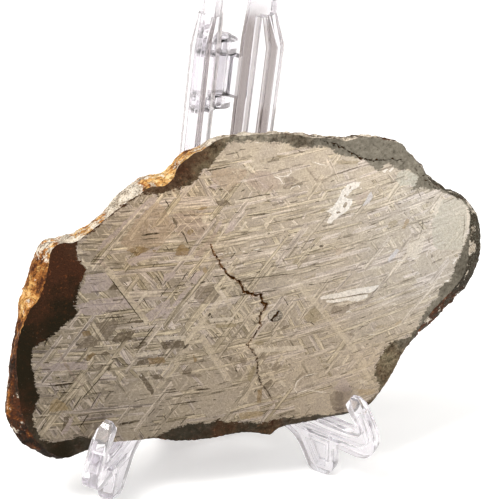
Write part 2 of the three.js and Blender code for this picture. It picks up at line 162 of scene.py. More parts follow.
# Colour of the crust near places on the rim: across, up, how rusty and how pale. The pale values along the
# top edge and at the upper left corner are partly painted highlight, and the low rust values on the
# underside and the right side partly painted shade
CRUST_TINTS = [
    (-47, 65.5, 0.85, 0.45), (-50.5, 65, 0.5, 0.85), (-54, 63.8, 0.6, 0.75),
    (-57, 62.5, 0.75, 0.6), (-58.5, 59.5, 0.6, 0.15), (-59.5, 56.5, 0.62, 0.05), (-60.5, 52.5, 0.6, 0),
    (-62, 48, 1, 0.15),
    (-63.2, 44.5, 0.75, 0.05), (-64, 39.5, 0.5, 0.05), (-65, 34.5, 0.3, 0), (-66, 28, 0.22, 0.08),
    (-66.5, 20, 0.28, 0.14), (-65, 11, 0.22, 0.12), (-61, 6, 0.1, 0), (-52, 0, 0.05, 0), (-36, 1, 0.12, 0),
    (-12, 1, 0.25, 0), (20, 1, 0.1, 0), (38, 3, 0.1, 0), (47, 7, 0.15, 0), (53, 17, 0.5, 0.15),
    (58, 25, 0, 0.2), (64, 31, 0.1, 0.25), (70, 38, 0.28, 0.25), (76, 44, -0.1, 0.15),
    (80, 50, -0.3, 0.22), (82, 57, -0.25, 0.22), (81, 61, -0.1, 0.45), (80, 64, -0.2, 0.25),
    (75, 71, -0.1, 0.3), (66, 76, -0.1, 0.3), (58, 83, 0, 0.3), (48, 91, 0.1, 0.4), (30, 92, 0.1, 0.6),
    (10, 93.5, 0.2, 0.75), (-2, 93.4, 0.2, 0.8), (-6.1, 92.8, 0.3, 0.9), (-10, 92, 0.4, 0.85),
    (-12.5, 89.2, 0.9, 0.4), (-16, 87.2, 1, 0.2), (-18.6, 84.5, 0.9, 0.35), (-20.3, 81, 1.05, 0.15),
    (-23.6, 79.9, 1.1, 0.2), (-27, 79.4, 0.95, 0.4), (-30, 77.8, 0.4, 0.95), (-33, 75.2, 0.45, 0.9),
    (-35.8, 73, 0.5, 0.9), (-38.6, 70.8, 0.75, 0.65), (-41.6, 68.3, 0.85, 0.45), (-44.6, 66, 1.05, 0.25),
]

# Crystal lamellae of the etched face, lowest layer first: direction up to the right in degrees,
# usual width, length, slant of the ends, share of the face that they fill where the level ones rule
# and where all directions cross, and how strongly the rows bow
LEVEL, RISING, FALLING = 0, 51, -58
LEVEL_BOW = 0.00165
LAMELLAE = [
    (FALLING, 1.3, 15, 0.5, 0.06, 0.5, 0.0),
    (-47, 1.2, 12, -0.4, 0.03, 0.2, 0.0),
    (LEVEL, 1.0, 24, 0.9, 0.68, 0.42, LEVEL_BOW),
    (RISING, 1.4, 20, -0.6, 0.1, 0.36, 0.0),
]
BOW_START = 35.0

# How much the lamellae cross, how plain and how warm the face is near some places: across, up, and
# the three shares
FIGURE_PLACES = [
    (-45, 50, 0.3, 0.1, 0.5), (-56, 28, 0.5, 0, 0.5), (-50, 12, 0.8, 0, 0.6), (-40, 22, 0.6, 0, 0.5),
    (-36, 36, 0.9, 0, 0.5), (-30, 16, 0.15, 0.85, 0.5), (-22, 28, 1, 0, 0.5), (-18, 38, 0.8, 0, 0.5),
    (-14, 20, 0.4, 0.5, 0.6), (-5, 14, 0.1, 0.95, 0.6), (5, 24, 1, 0, 0.7), (14, 20, 1, 0, 0.7),
    (12, 32, 0.8, 0, 0.6), (30, 32, 0.6, 0.2, 0.6), (30, 12, 0.05, 0.9, 0.7), (22, 18, 0.1, 0.8, 0.7),
    (45, 20, 0.4, 0.3, 0.7), (44, 34, 0.3, 0.5, 0.4), (50, 45, 0.2, 0.3, 0.15), (-2, 46, 0.6, 0, 0.5),
    (15, 50, 0.15, 0, 0.45), (28, 55, 0.05, 0, 0.4), (50, 58, 0.25, 0, 0.1), (60, 68, 0.2, 0, 0),
    (64, 50, 0.2, 0.2, 0), (35, 72, 0.15, 0.1, 0.2), (10, 66, 0.15, 0, 0.5), (-12, 60, 0.7, 0, 0.8),
    (-30, 58, 0.4, 0.2, 0.9), (-34, 68, 0.6, 0, 0.9), (-16, 72, 0.9, 0, 1), (2, 76, 0.3, 0.4, 0.6),
    (8, 84, 0.1, 0.9, 0.5), (24, 82, 0.2, 0.7, 0.5), (38, 80, 0.15, 0.2, 0.35),
]

# Straight grains that stand out, by look: centre across and up, direction in degrees, half length,
# half width, slant of the ends
STRAIGHT_GRAINS = {"plate": [
    (-28.7, 58.1, 23, 4, 1, 0.5), (-50.7, 27.6, -2, 6.6, 1.2, 0.4),
], "light": [
    (-8.1, 39.7, 50, 12.2, 0.9, 0.3), (-16.8, 26.5, 53, 9.9, 0.78, 0.3), (25, 42.2, -46, 6.5, 0.9, 0.3),
    (37.3, 28.4, -50, 12, 0.9, 0.3), (-2.6, 43.9, -53, 5.9, 0.67, 0.3),
    (-40.7, 36.6, -59, 3.9, 0.49, 0.2), (-26.8, 19.9, -60, 4.4, 0.43, 0.2),
    (-24.8, 20.6, -69, 3.4, 0.35, 0.2), (-5.3, 26, -58, 8.8, 1, 0.2), (-32.6, 46.9, -54, 10.6, 0.9, 0.2),
], "bar": [
    (-18.9, 33.5, -1, 4.3, 0.53, 0.5), (-26.1, 29.4, 3, 3.8, 0.53, 0.5), (-3.7, 38, 0, 3.8, 0.5, 0.5),
    (-25, 24.8, 0, 4.9, 0.53, 0.5), (15.1, 27.4, -1, 7.9, 0.72, 0.4), (3.8, 73.6, 5, 4.8, 0.52, 0.4),
], "field": [
    (-18.4, 31.4, -1, 3.5, 1.1, 0.4), (-28.2, 31.9, 33, 1.7, 0.63, 0.8),
    (-26.2, 20.2, -56, 3.6, 0.66, 0.3), (-23.2, 22.1, 2, 1.5, 0.74, 1), (-30.1, 39.2, 1, 2.4, 0.4, 0.5),
    (16.9, 34.1, 56, 0.7, 0.9, 1), (-4.5, 72.8, 6, 1.8, 0.79, 0.9),
], "ochre": [
    (-23.4, 27, 0, 2.4, 0.9, 0.4), (-44.4, 36.8, 5, 1.1, 0.7, 0.3), (-43.2, 30, 38, 1.4, 0.6, 0.3),
], "slit": [
    (-26.6, 34.7, 51, 5.3, 0.17, 0), (-36.7, 41, 0, 4.1, 0.16, 0), (-34.7, 42.8, 3, 4.1, 0.15, 0),
    (-51.1, 22.3, 3, 3.5, 0.28, 0.5), (-42.9, 20.3, 48, 5.2, 0.15, 0), (-46.8, 16.5, 57, 2.8, 0.14, 0),
    (-44.8, 10.8, 53, 2.6, 0.17, 0), (-14.6, 13.2, 2, 5.6, 0.17, 0), (-9.1, 16.9, -1, 2.9, 0.26, 0.5),
    (-18.8, 17, 0, 2.7, 0.15, 0), (-32.1, 8.8, 0, 2.2, 0.26, 0.5), (-26, 64.7, 5, 3, 0.24, 0.5),
    (-33, 46.1, -54, 10, 0.15, 0), (-7.6, 39.7, 46, 0.7, 0.35, 0.3), (-14.5, 30.6, 38, 1.2, 0.35, 0.3),
    (-6.5, 82.8, 8, 4.4, 0.17, 0), (4.6, 74.2, 8, 5.7, 0.17, 0), (6.3, 68.9, 4, 3.8, 0.22, 0.5),
    (6.2, 45.3, 4, 8.9, 0.17, 0), (11.9, 50.2, 3, 8.1, 0.15, 0), (-5, 51.2, 4, 2.3, 0.18, 0),
    (33.8, 80.8, 15, 5.8, 0.16, 0), (27.3, 58.4, 15, 0.8, 0.36, 0.3),
]}

# Grains with an outline of their own, and the painted reflection and shadow of the hook tip beside the right
# ledge, by look,
# the later ones over the earlier ones: across, up, across, up and so on
GRAIN_OUTLINES = {"cream": [
    (66.3, 71.4, 67.6, 71.1, 70.8, 71.1, 72.4, 71.2, 75, 70.5, 77.2, 67.8, 77.6, 64.9, 77.6, 62.6, 76.8,
    60.6, 76.4, 57.5, 75.7, 54.9, 74.1, 54.7, 70.8, 55.2, 68.3, 54.9, 66.3, 55.7, 65.2, 56.9, 64.5, 60.7,
    64.3, 63.2, 64.5, 66.9, 65.2, 69.2),
], "plate": [
    (-44.7, 53.9, -38.6, 54.4, -36.7, 51.5, -38.4, 49.3, -40.6, 48.7, -45.8, 48.6, -46.4, 49.8, -45.1,
    51.3), (-46.9, 45.4, -43.5, 46.4, -39.4, 46.9, -33, 47, -30.5, 43.6, -38.8, 42.6, -40.5, 42, -44.6,
    42.3, -46.3, 43), (-27.2, 41, -23.4, 43.7, -19.8, 45.6, -19.7, 41.7, -23.9, 39.6, -26.3, 38.6),
    (-41.9, 60.6, -40.5, 60.9, -38.2, 62.7, -36.2, 64.6, -33.3, 68, -29.3, 71.8, -24.7, 75, -25.9, 75.7,
    -29.3, 72.9, -31.6, 70.7, -35.1, 67.5, -37.9, 65, -39.6, 63.7), (-12.8, 57.3, -11.1, 59, -9.3, 61.5,
    -7.5, 63.5, -6.4, 66.1, -5.2, 67.8, -4.4, 67.5, -5.2, 65.8, -6.6, 63.5, -7.8, 62.1, -9.2, 59.5, -10.4,
    58.1, -12.2, 56.7), (-3, 65.7, -2.1, 67.1, -0.3, 67.6, -0.2, 66.7, -1.4, 64.4, -3.2, 63.6, -3.9,
    63.9), (-21.8, 52.8, -18.5, 53.3, -18.3, 52.3, -19.9, 50.6, -22, 51), (-14.2, 50.9, -12.4, 52.8, -10,
    53.3, -10.2, 52.1, -12, 49.2, -13.8, 49.6), (-20.3, 41.7, -17.7, 45.1, -15.9, 47.4, -13.8, 48.6,
    # The plate outline from (34, 13.3) round to (34.8, 12.3) is a painted reflection of the easel's lilac
    # hook tip on the polished face
    -13.1, 48.4, -15.8, 45.3, -18.2, 42.8, -20.8, 39.4, -22.4, 39.5), (34, 13.3, 35.9, 15.7, 36.9, 16.6,
    38.7, 14.8, 40.2, 12.4, 38.2, 11.6, 34.8, 12.3), (-42, 16.5, -40.2, 19, -39.9, 18.4, -42.5, 14.1,
    -43.4, 13.6), (-48.7, 12.3, -47.5, 12.8, -48.4, 10.2, -49.8, 7.6, -51.8, 7.2, -51, 8.6), (-29.9, 69.5,
    -27, 73.1, -25, 74.8, -24.7, 75.3, -24.2, 75, -25.8, 72.2, -28.7, 68.6), (-27.6, 57.5, -26.1, 57.5,
    -22.6, 61.3, -18.8, 65.5, -19.7, 65.9, -24.4, 61.2), (-8.8, 77.9, -7.9, 78.7, -6.8, 78.3, -6.9, 76.7,
    -8.3, 76.6),
], "tan": [
    (-35, 62.6, -30.4, 69, -24.7, 73.9, -22.6, 72.6, -18.5, 65.8, -20.3, 63.9, -22.9, 61.1, -27.3, 60.4,
    -31.4, 59.8), (32, 57.3, 33.5, 57.6, 34.5, 56.5, 33.3, 55.2, 32.1, 55.6), (-7.9, 82.5, -2.1, 82.9,
    1.9, 82.5, 2.9, 81.3, -0.1, 78.2, -3.3, 75.4, -4.9, 76.9, -5.9, 78.1, -7.4, 78.7, -8.4, 80.5),
], "rose": [
    (-42.5, 59.5, -40.1, 57.7, -31.8, 47.3, -27.5, 42.2, -29, 42.3, -33, 47, -37.8, 53.8, -41.3, 57.7),
    (-19.2, 70.2, -15.1, 71.2, -9.9, 69.8, -9.1, 66.2, -10.9, 62.8, -14.8, 62.1, -18.2, 64.3), (37.7,
    72.8, 41.3, 74.7, 42.1, 74.3, 39.4, 70, 37.8, 71.1), (-12.8, 57.6, -11.4, 59.3, -8.4, 62.7, -6.4,
    64.9, -6.3, 63.2, -9.2, 59.2, -10.7, 57.5), (3.5, 81.2, 6.9, 82, 9.4, 81.3, 13.3, 78.9, 12.8, 76.2,
    8.4, 75.5, 5.9, 76.2, 2.4, 78.4),
], "green": [
    (51.7, 80.1, 53.9, 80.7, 56.3, 79.6, 58.2, 78.9, 58.8, 76.8, 58.1, 75.1, 55.4, 75.9, 52.4, 75.6, 50.8,
    77.7),
], "light": [
    (-10.4, 57.2, -8.3, 58.5, -7.9, 57.6, -8.8, 55.6, -10, 56), (-46.1, 20.2, -44.3, 19.1, -45.5, 16.8,
    -47.2, 14.6, -48.4, 15.3), (2.5, 18.6, 4.2, 20.5, 5.2, 22.5, 6.2, 24.2, 6.5, 23.1, 4.9, 20.5, 3.2,
    18.1), (7.8, 19.5, 8.6, 19.1, 6.2, 14.8, 5.3, 11.7, 2.8, 11.2, 3.1, 12.6, 5.1, 14.5), (11.7, 20.9,
    12.4, 21.2, 14.7, 17.5, 13.3, 16.8), (9.7, 17.2, 12.9, 18.8, 13.3, 18.2, 10.4, 16.4), (39.2, 18, 40.5,
    19.2, 42.6, 18, 43.7, 17, 40.3, 17), (35.1, 30.2, 37.1, 29.7, 39.8, 25, 38.4, 25.4), (44.5, 20.4,
    49.6, 27.1, 50.7, 26.7, 45.9, 19.9), (39.9, 22.8, 41.6, 23, 44.6, 18.8, 48.5, 12.6, 47.8, 12.3, 43.7,
    17.3),
], "bar": [
    (-29.1, 45.9, -26.8, 48.1, -25.6, 48, -29.4, 44.4), (-10.9, 69, -9.9, 69.5, -9.2, 68, -9.8, 66.9,
    -10.7, 67.5), (-8.6, 69.1, -7.4, 69.7, -7.4, 68.2, -8.3, 68), (-18.7, 57.5, -14.7, 57.8, -13.1, 57.8,
    -12.8, 56.9, -14, 56.5, -18, 56.3, -18.6, 56.7), (-3.9, 66, -2.7, 67.1, -2.3, 66.5, -4.5, 63.4, -5.3,
    61.9, -6.2, 60.2, -6.9, 60.5, -5.6, 62.2), (2.5, 67.2, 3.2, 66.8, 1.7, 64.4, 0.8, 64.6), (1.9, 83,
    3.1, 83.4, 2.9, 82.4, 4.4, 83, 4.7, 83.6, 5, 83.2, 4.4, 82.2, 2.6, 82.1), (32.7, 39.7, 34.9, 40.4,
    37.1, 40.2, 36.8, 39.7, 33.4, 39.3), (56.1, 55.7, 56.4, 57.7, 59.8, 58.3, 61.5, 61, 62, 59.5, 61.5,
    56.1, 60.9, 53.3, 58.2, 52.7, 56.6, 53.9), (43.4, 50.3, 44.7, 51.3, 45.5, 51.1, 49, 51.1, 47, 50.3,
    45.1, 50.1), (52, 38.8, 53.1, 39.2, 54.1, 38.5, 52.7, 38.2), (41.4, 14.9, 42.8, 15.4, 45.6, 14.2,
    45.5, 13.3, 43.5, 14), (66.3, 71.4, 67.2, 71.1, 66.6, 69.4, 66, 67.4, 65.2, 65.8, 64.4, 66.9, 65.2,
    69.2), (75.8, 68.4, 77.2, 67.2, 77.7, 64.1, 77.4, 62, 76.5, 60.9, 76.2, 57.5, 75.6, 54.9, 75.8, 58.1,
    76.4, 62.1, 76.4, 65), (61, 58.3, 61.5, 59.9, 62.1, 61.1, 62, 58.8, 61.2, 56.5, 60.1, 56.5), (60.2,
    42.5, 62.3, 41.7, 61.4, 41.1), (15.3, 17.3, 16.2, 17.5, 17.2, 16.5, 17.9, 15.5, 17.6, 15.1, 16.6,
    15.7),
], "white": [
    (39.1, 77.5, 38.6, 76.1, 36.5, 74.9, 35.1, 73.6, 34.1, 73, 35.6, 72.4, 36.6, 72.5, 36.7, 71.2, 35.7,
    69.5, 34.3, 68.2, 32.6, 67.3, 30.8, 66, 30.1, 65.2, 28.7, 65.4, 29, 66.4, 30.3, 68.1, 28.8, 68.7,
    28.3, 68.8, 30.2, 70.1, 31.6, 71.7, 32.6, 73.7, 33.2, 75.3, 34.9, 76.9, 36.7, 77.4), (45.9, 80.4,
    47.4, 81.2, 48, 80.9, 46.9, 79.8), (48.2, 80.4, 49.4, 81.6, 49.8, 81.2, 48.9, 80), (27.7, 42.6, 28.8,
    43, 33.9, 43.6, 36.9, 44.3, 41.3, 44.7, 45.4, 44.9, 47.3, 45.2, 46.3, 43.6, 44.8, 43, 41.4, 42.8,
    36.2, 42.3, 32.5, 41.9, 28.1, 41.9), (29.6, 41.3, 35.5, 41.8, 38.5, 42.1, 43.7, 42.5, 43.9, 42, 42.7,
    41.1, 40.1, 40.5, 37.8, 40.7, 37, 41.1, 34.1, 40.6, 30, 40.8), (72.4, 50.6, 73.6, 52.1, 73.9, 51.8,
    73, 50.2), (69.9, 45, 71.7, 45.3, 71.4, 44.6),
], "gold": [
    (-10.1, 53.6, -9.4, 54.2, -8.5, 53, -9, 52.3, -9.9, 52.7), (-54.5, 17.7, -52.8, 18.4, -50.7, 16.7,
    -49.3, 14.8, -53.3, 14.3, -55.1, 14.8), (2.9, 8.1, 4.7, 8.6, 8.6, 8.5, 10.8, 8, 10.5, 6.6, 6.6, 5.9,
    3.3, 6.6), (53.5, 32.2, 55.4, 33.5, 55.9, 32.7, 54.3, 31.7), (41.6, 12, 45, 12, 47.8, 11.7, 48.6,
    10.6, 46.6, 9.8, 43.1, 10.1),
], "lilac": [
    (42.8, 74.3, 43.5, 72.6, 42.3, 70.9, 40.1, 70, 40.8, 71.3, 41.8, 73.2), (50.3, 52.1, 52.1, 53.4, 53.4,
    55.8, 52.6, 56.3, 50.5, 54.2, 49.8, 52.9),
], "dusky_and_hook_shadow": [
    (-41.9, 39.7, -34.9, 40.4, -35.5, 38.1, -38.4, 34.4, -39.2, 34.5), (-47.7, 32.2, -45.7, 34.7, -43.4,
    36.3, -40.7, 34.6, -40.4, 33.1), (-12.2, 46.8, -10.4, 48.5, -6.4, 48.7, -4.4, 45.4, -4.7, 44.2, -6.2,
    43.1, -10.6, 43.1, -12.5, 45.1), (-41.5, 26.1, -39.7, 27.3, -39.1, 27, -40.3, 25.7), (33.6, 70.1,
    34.5, 71.5, 35.2, 71.2, 34.3, 69.5), (33.7, 73.2, 34.4, 73.9, 34.6, 73.5, 34.1, 73), (39.7, 40.4,
    42.5, 40.4, 42, 39.4, 40.9, 39.1), (37.3, 30.5, 39.2, 30.8, 40, 30, 38.9, 29.5), (20.3, 15.2, 20.8,
    # The outline from (32.8, 11.2) round to (32.9, 8.9) is painted shadow: the dark reflection beside the
    # easel's hook tip
    17.1, 23, 19.5, 24.6, 18.7, 22.4, 17.9, 21.2, 16.4), (32.8, 11.2, 34.1, 12.3, 37.5, 11.4, 37.4, 8.5,
    37.9, 5.8, 36.5, 5, 34.1, 6.2, 32.9, 8.9), (2.2, 25.5, 4.9, 25.7, 4.4, 23.6, 3.4, 23), (9.3, 25.6,
    11.8, 25.8, 10.1, 24.3), (13.4, 22.5, 14.8, 23.6, 16.2, 22.1, 14.6, 20.2, 12.8, 21.2), (-15.5, 23.3,
    -14.1, 23.2, -12.7, 24.1, -12.3, 23, -13, 22.1, -9.5, 21.5, -9.1, 21, -10.6, 20.7, -13.7, 21.4, -14.7,
    22.1), (32, 39, 33.4, 39.6, 36.4, 39.8, 37.9, 39.3, 37.6, 37.9, 35.8, 37, 32.8, 37, 31.7, 37.6),
    (-43.7, 40.2, -42.2, 40, -38.7, 34.2, -40.4, 34), (14.1, 79.4, 16.7, 79.9, 19, 78.4, 17.5, 77.8, 16.3,
    76.1, 13.8, 76.2, 14.6, 78.2), (20.8, 82.6, 21.7, 82.1, 23.5, 80.1, 24.7, 78.7, 26.9, 78.6, 28.6,
    79.3, 30, 80, 30.1, 79.4, 27.2, 78.1, 24.7, 77.8, 23.2, 79.4), (20.6, 54.2, 22.7, 55.2, 23.8, 55.2,
    22.8, 53.7, 20.8, 53.6),
], "field": [
    (-36.9, 34.3, -35.1, 36.3, -29.8, 36.7, -31.5, 33.9, -35.4, 33.3), (-50.7, 12.5, -49, 12.7, -49.8,
    10.6, -51.3, 8.1, -51.6, 8.4, -50.7, 10.7), (-29, 27.4, -26.6, 27.9, -22.4, 28.1, -22.4, 26.5, -26.6,
    26.4, -29.6, 26.2), (-1.1, 26.2, 0.1, 26.1, -0.2, 25, -0.9, 25), (10.8, 16.8, 12.9, 18.1, 13.7, 17.2,
    12, 15, 10.5, 15.9), (-9.2, 78.2, -7.1, 77, -7.9, 76.1), (30.3, 20, 31.9, 20.6, 32, 20.1, 31, 19.5),
    (43, 21.3, 44.2, 21.4, 43.8, 20.6, 43.4, 20.5), (-38.3, 49.1, -36.6, 51.1, -35.1, 49.8, -34.8, 49.1),
    (-38.4, 25.5, -37.4, 26.7, -37, 26.2, -37.6, 25.1), (-40.4, 30.4, -38.6, 31.3, -37.4, 30, -38.6,
    29.9), (-35, 8.5, -33.5, 9, -30.2, 9.3, -27.8, 9.3, -28.7, 8.7, -32.3, 8.4, -34.1, 8.1), (54.9, 72.5,
    57.1, 73.1, 58.6, 74.1, 58, 73.3, 55.4, 72.2), (63.3, 59.3, 63.8, 59.4, 63.9, 57.5, 63.4, 57.5),
    (64.6, 53.8, 65.3, 53.9, 65.4, 53, 64.9, 52.7), (35.3, 75.3, 36, 76.6, 36, 75.2), (31.5, 68.6, 32.5,
    68.9, 33, 68.3, 31.8, 68.1),
], "olive": [
    (-17.1, 59.9, -15, 60.4, -14.7, 58.6, -16.5, 57.8), (-5.5, 36.7, 1.5, 36.4, 0.8, 35.3, -5.1, 35.5),
    (6.7, 29.7, 7.7, 30.3, 10.2, 30.4, 9.9, 29.4, 8.5, 29), (25.7, 68.8, 26.3, 69.7, 28.5, 69.9, 27.6,
    68.8), (49.1, 63.1, 49.4, 64.5, 51.3, 65.3, 52.6, 64.8, 52.1, 64, 50.7, 63), (22.6, 36.6, 24.6, 38.8,
    26.4, 40.4, 27.5, 39.3, 29.1, 37.5, 28, 36.5, 26.7, 34.5, 25.2, 35, 23, 35.5), (18.1, 54.3, 19.5, 55,
    20.3, 54.5, 19.5, 53.5, 18.1, 53.6), (4.9, 19.8, 7, 22.4, 8.1, 22.3, 7.4, 20.2, 6.1, 17.5), (30.9,
    84.1, 33.4, 84.2, 38.5, 83.7, 37.1, 82.9, 34.2, 82.8, 31.3, 82.9), (21.6, 48.7, 23, 48.9, 25.9, 49.8,
    25.6, 49, 22.3, 48.4), (46.7, 32, 51.2, 32.5, 50.1, 31.7, 47.1, 31.2),
], "ochre": [
    (-33.2, 60.5, -29.1, 61.4, -24.3, 59.7, -25.5, 58.6, -30.2, 58.6), (-12.2, 71.3, -10.9, 72, -9.3,
    72.1, -9.6, 71.4, -11.4, 70.9), (-18.5, 59.7, -17.2, 61.1, -16.3, 61.3, -14.4, 59.6, -14.7, 58.1,
    -15.9, 57.8, -18.6, 58.2), (-14.9, 65.3, -13.7, 65.9, -13.1, 65, -14.2, 63.8, -15.2, 64.5), (-12.3,
    28.1, -11.8, 27.1, -10.9, 26.7, -11.2, 25.5, -11.9, 25.6, -12.4, 27.1), (8.7, 14.9, 10.1, 15.4, 10,
    10.9, 8.5, 11), (55.4, 65.6, 56.4, 65.2, 54.9, 62.2, 53.9, 62.4),
]}

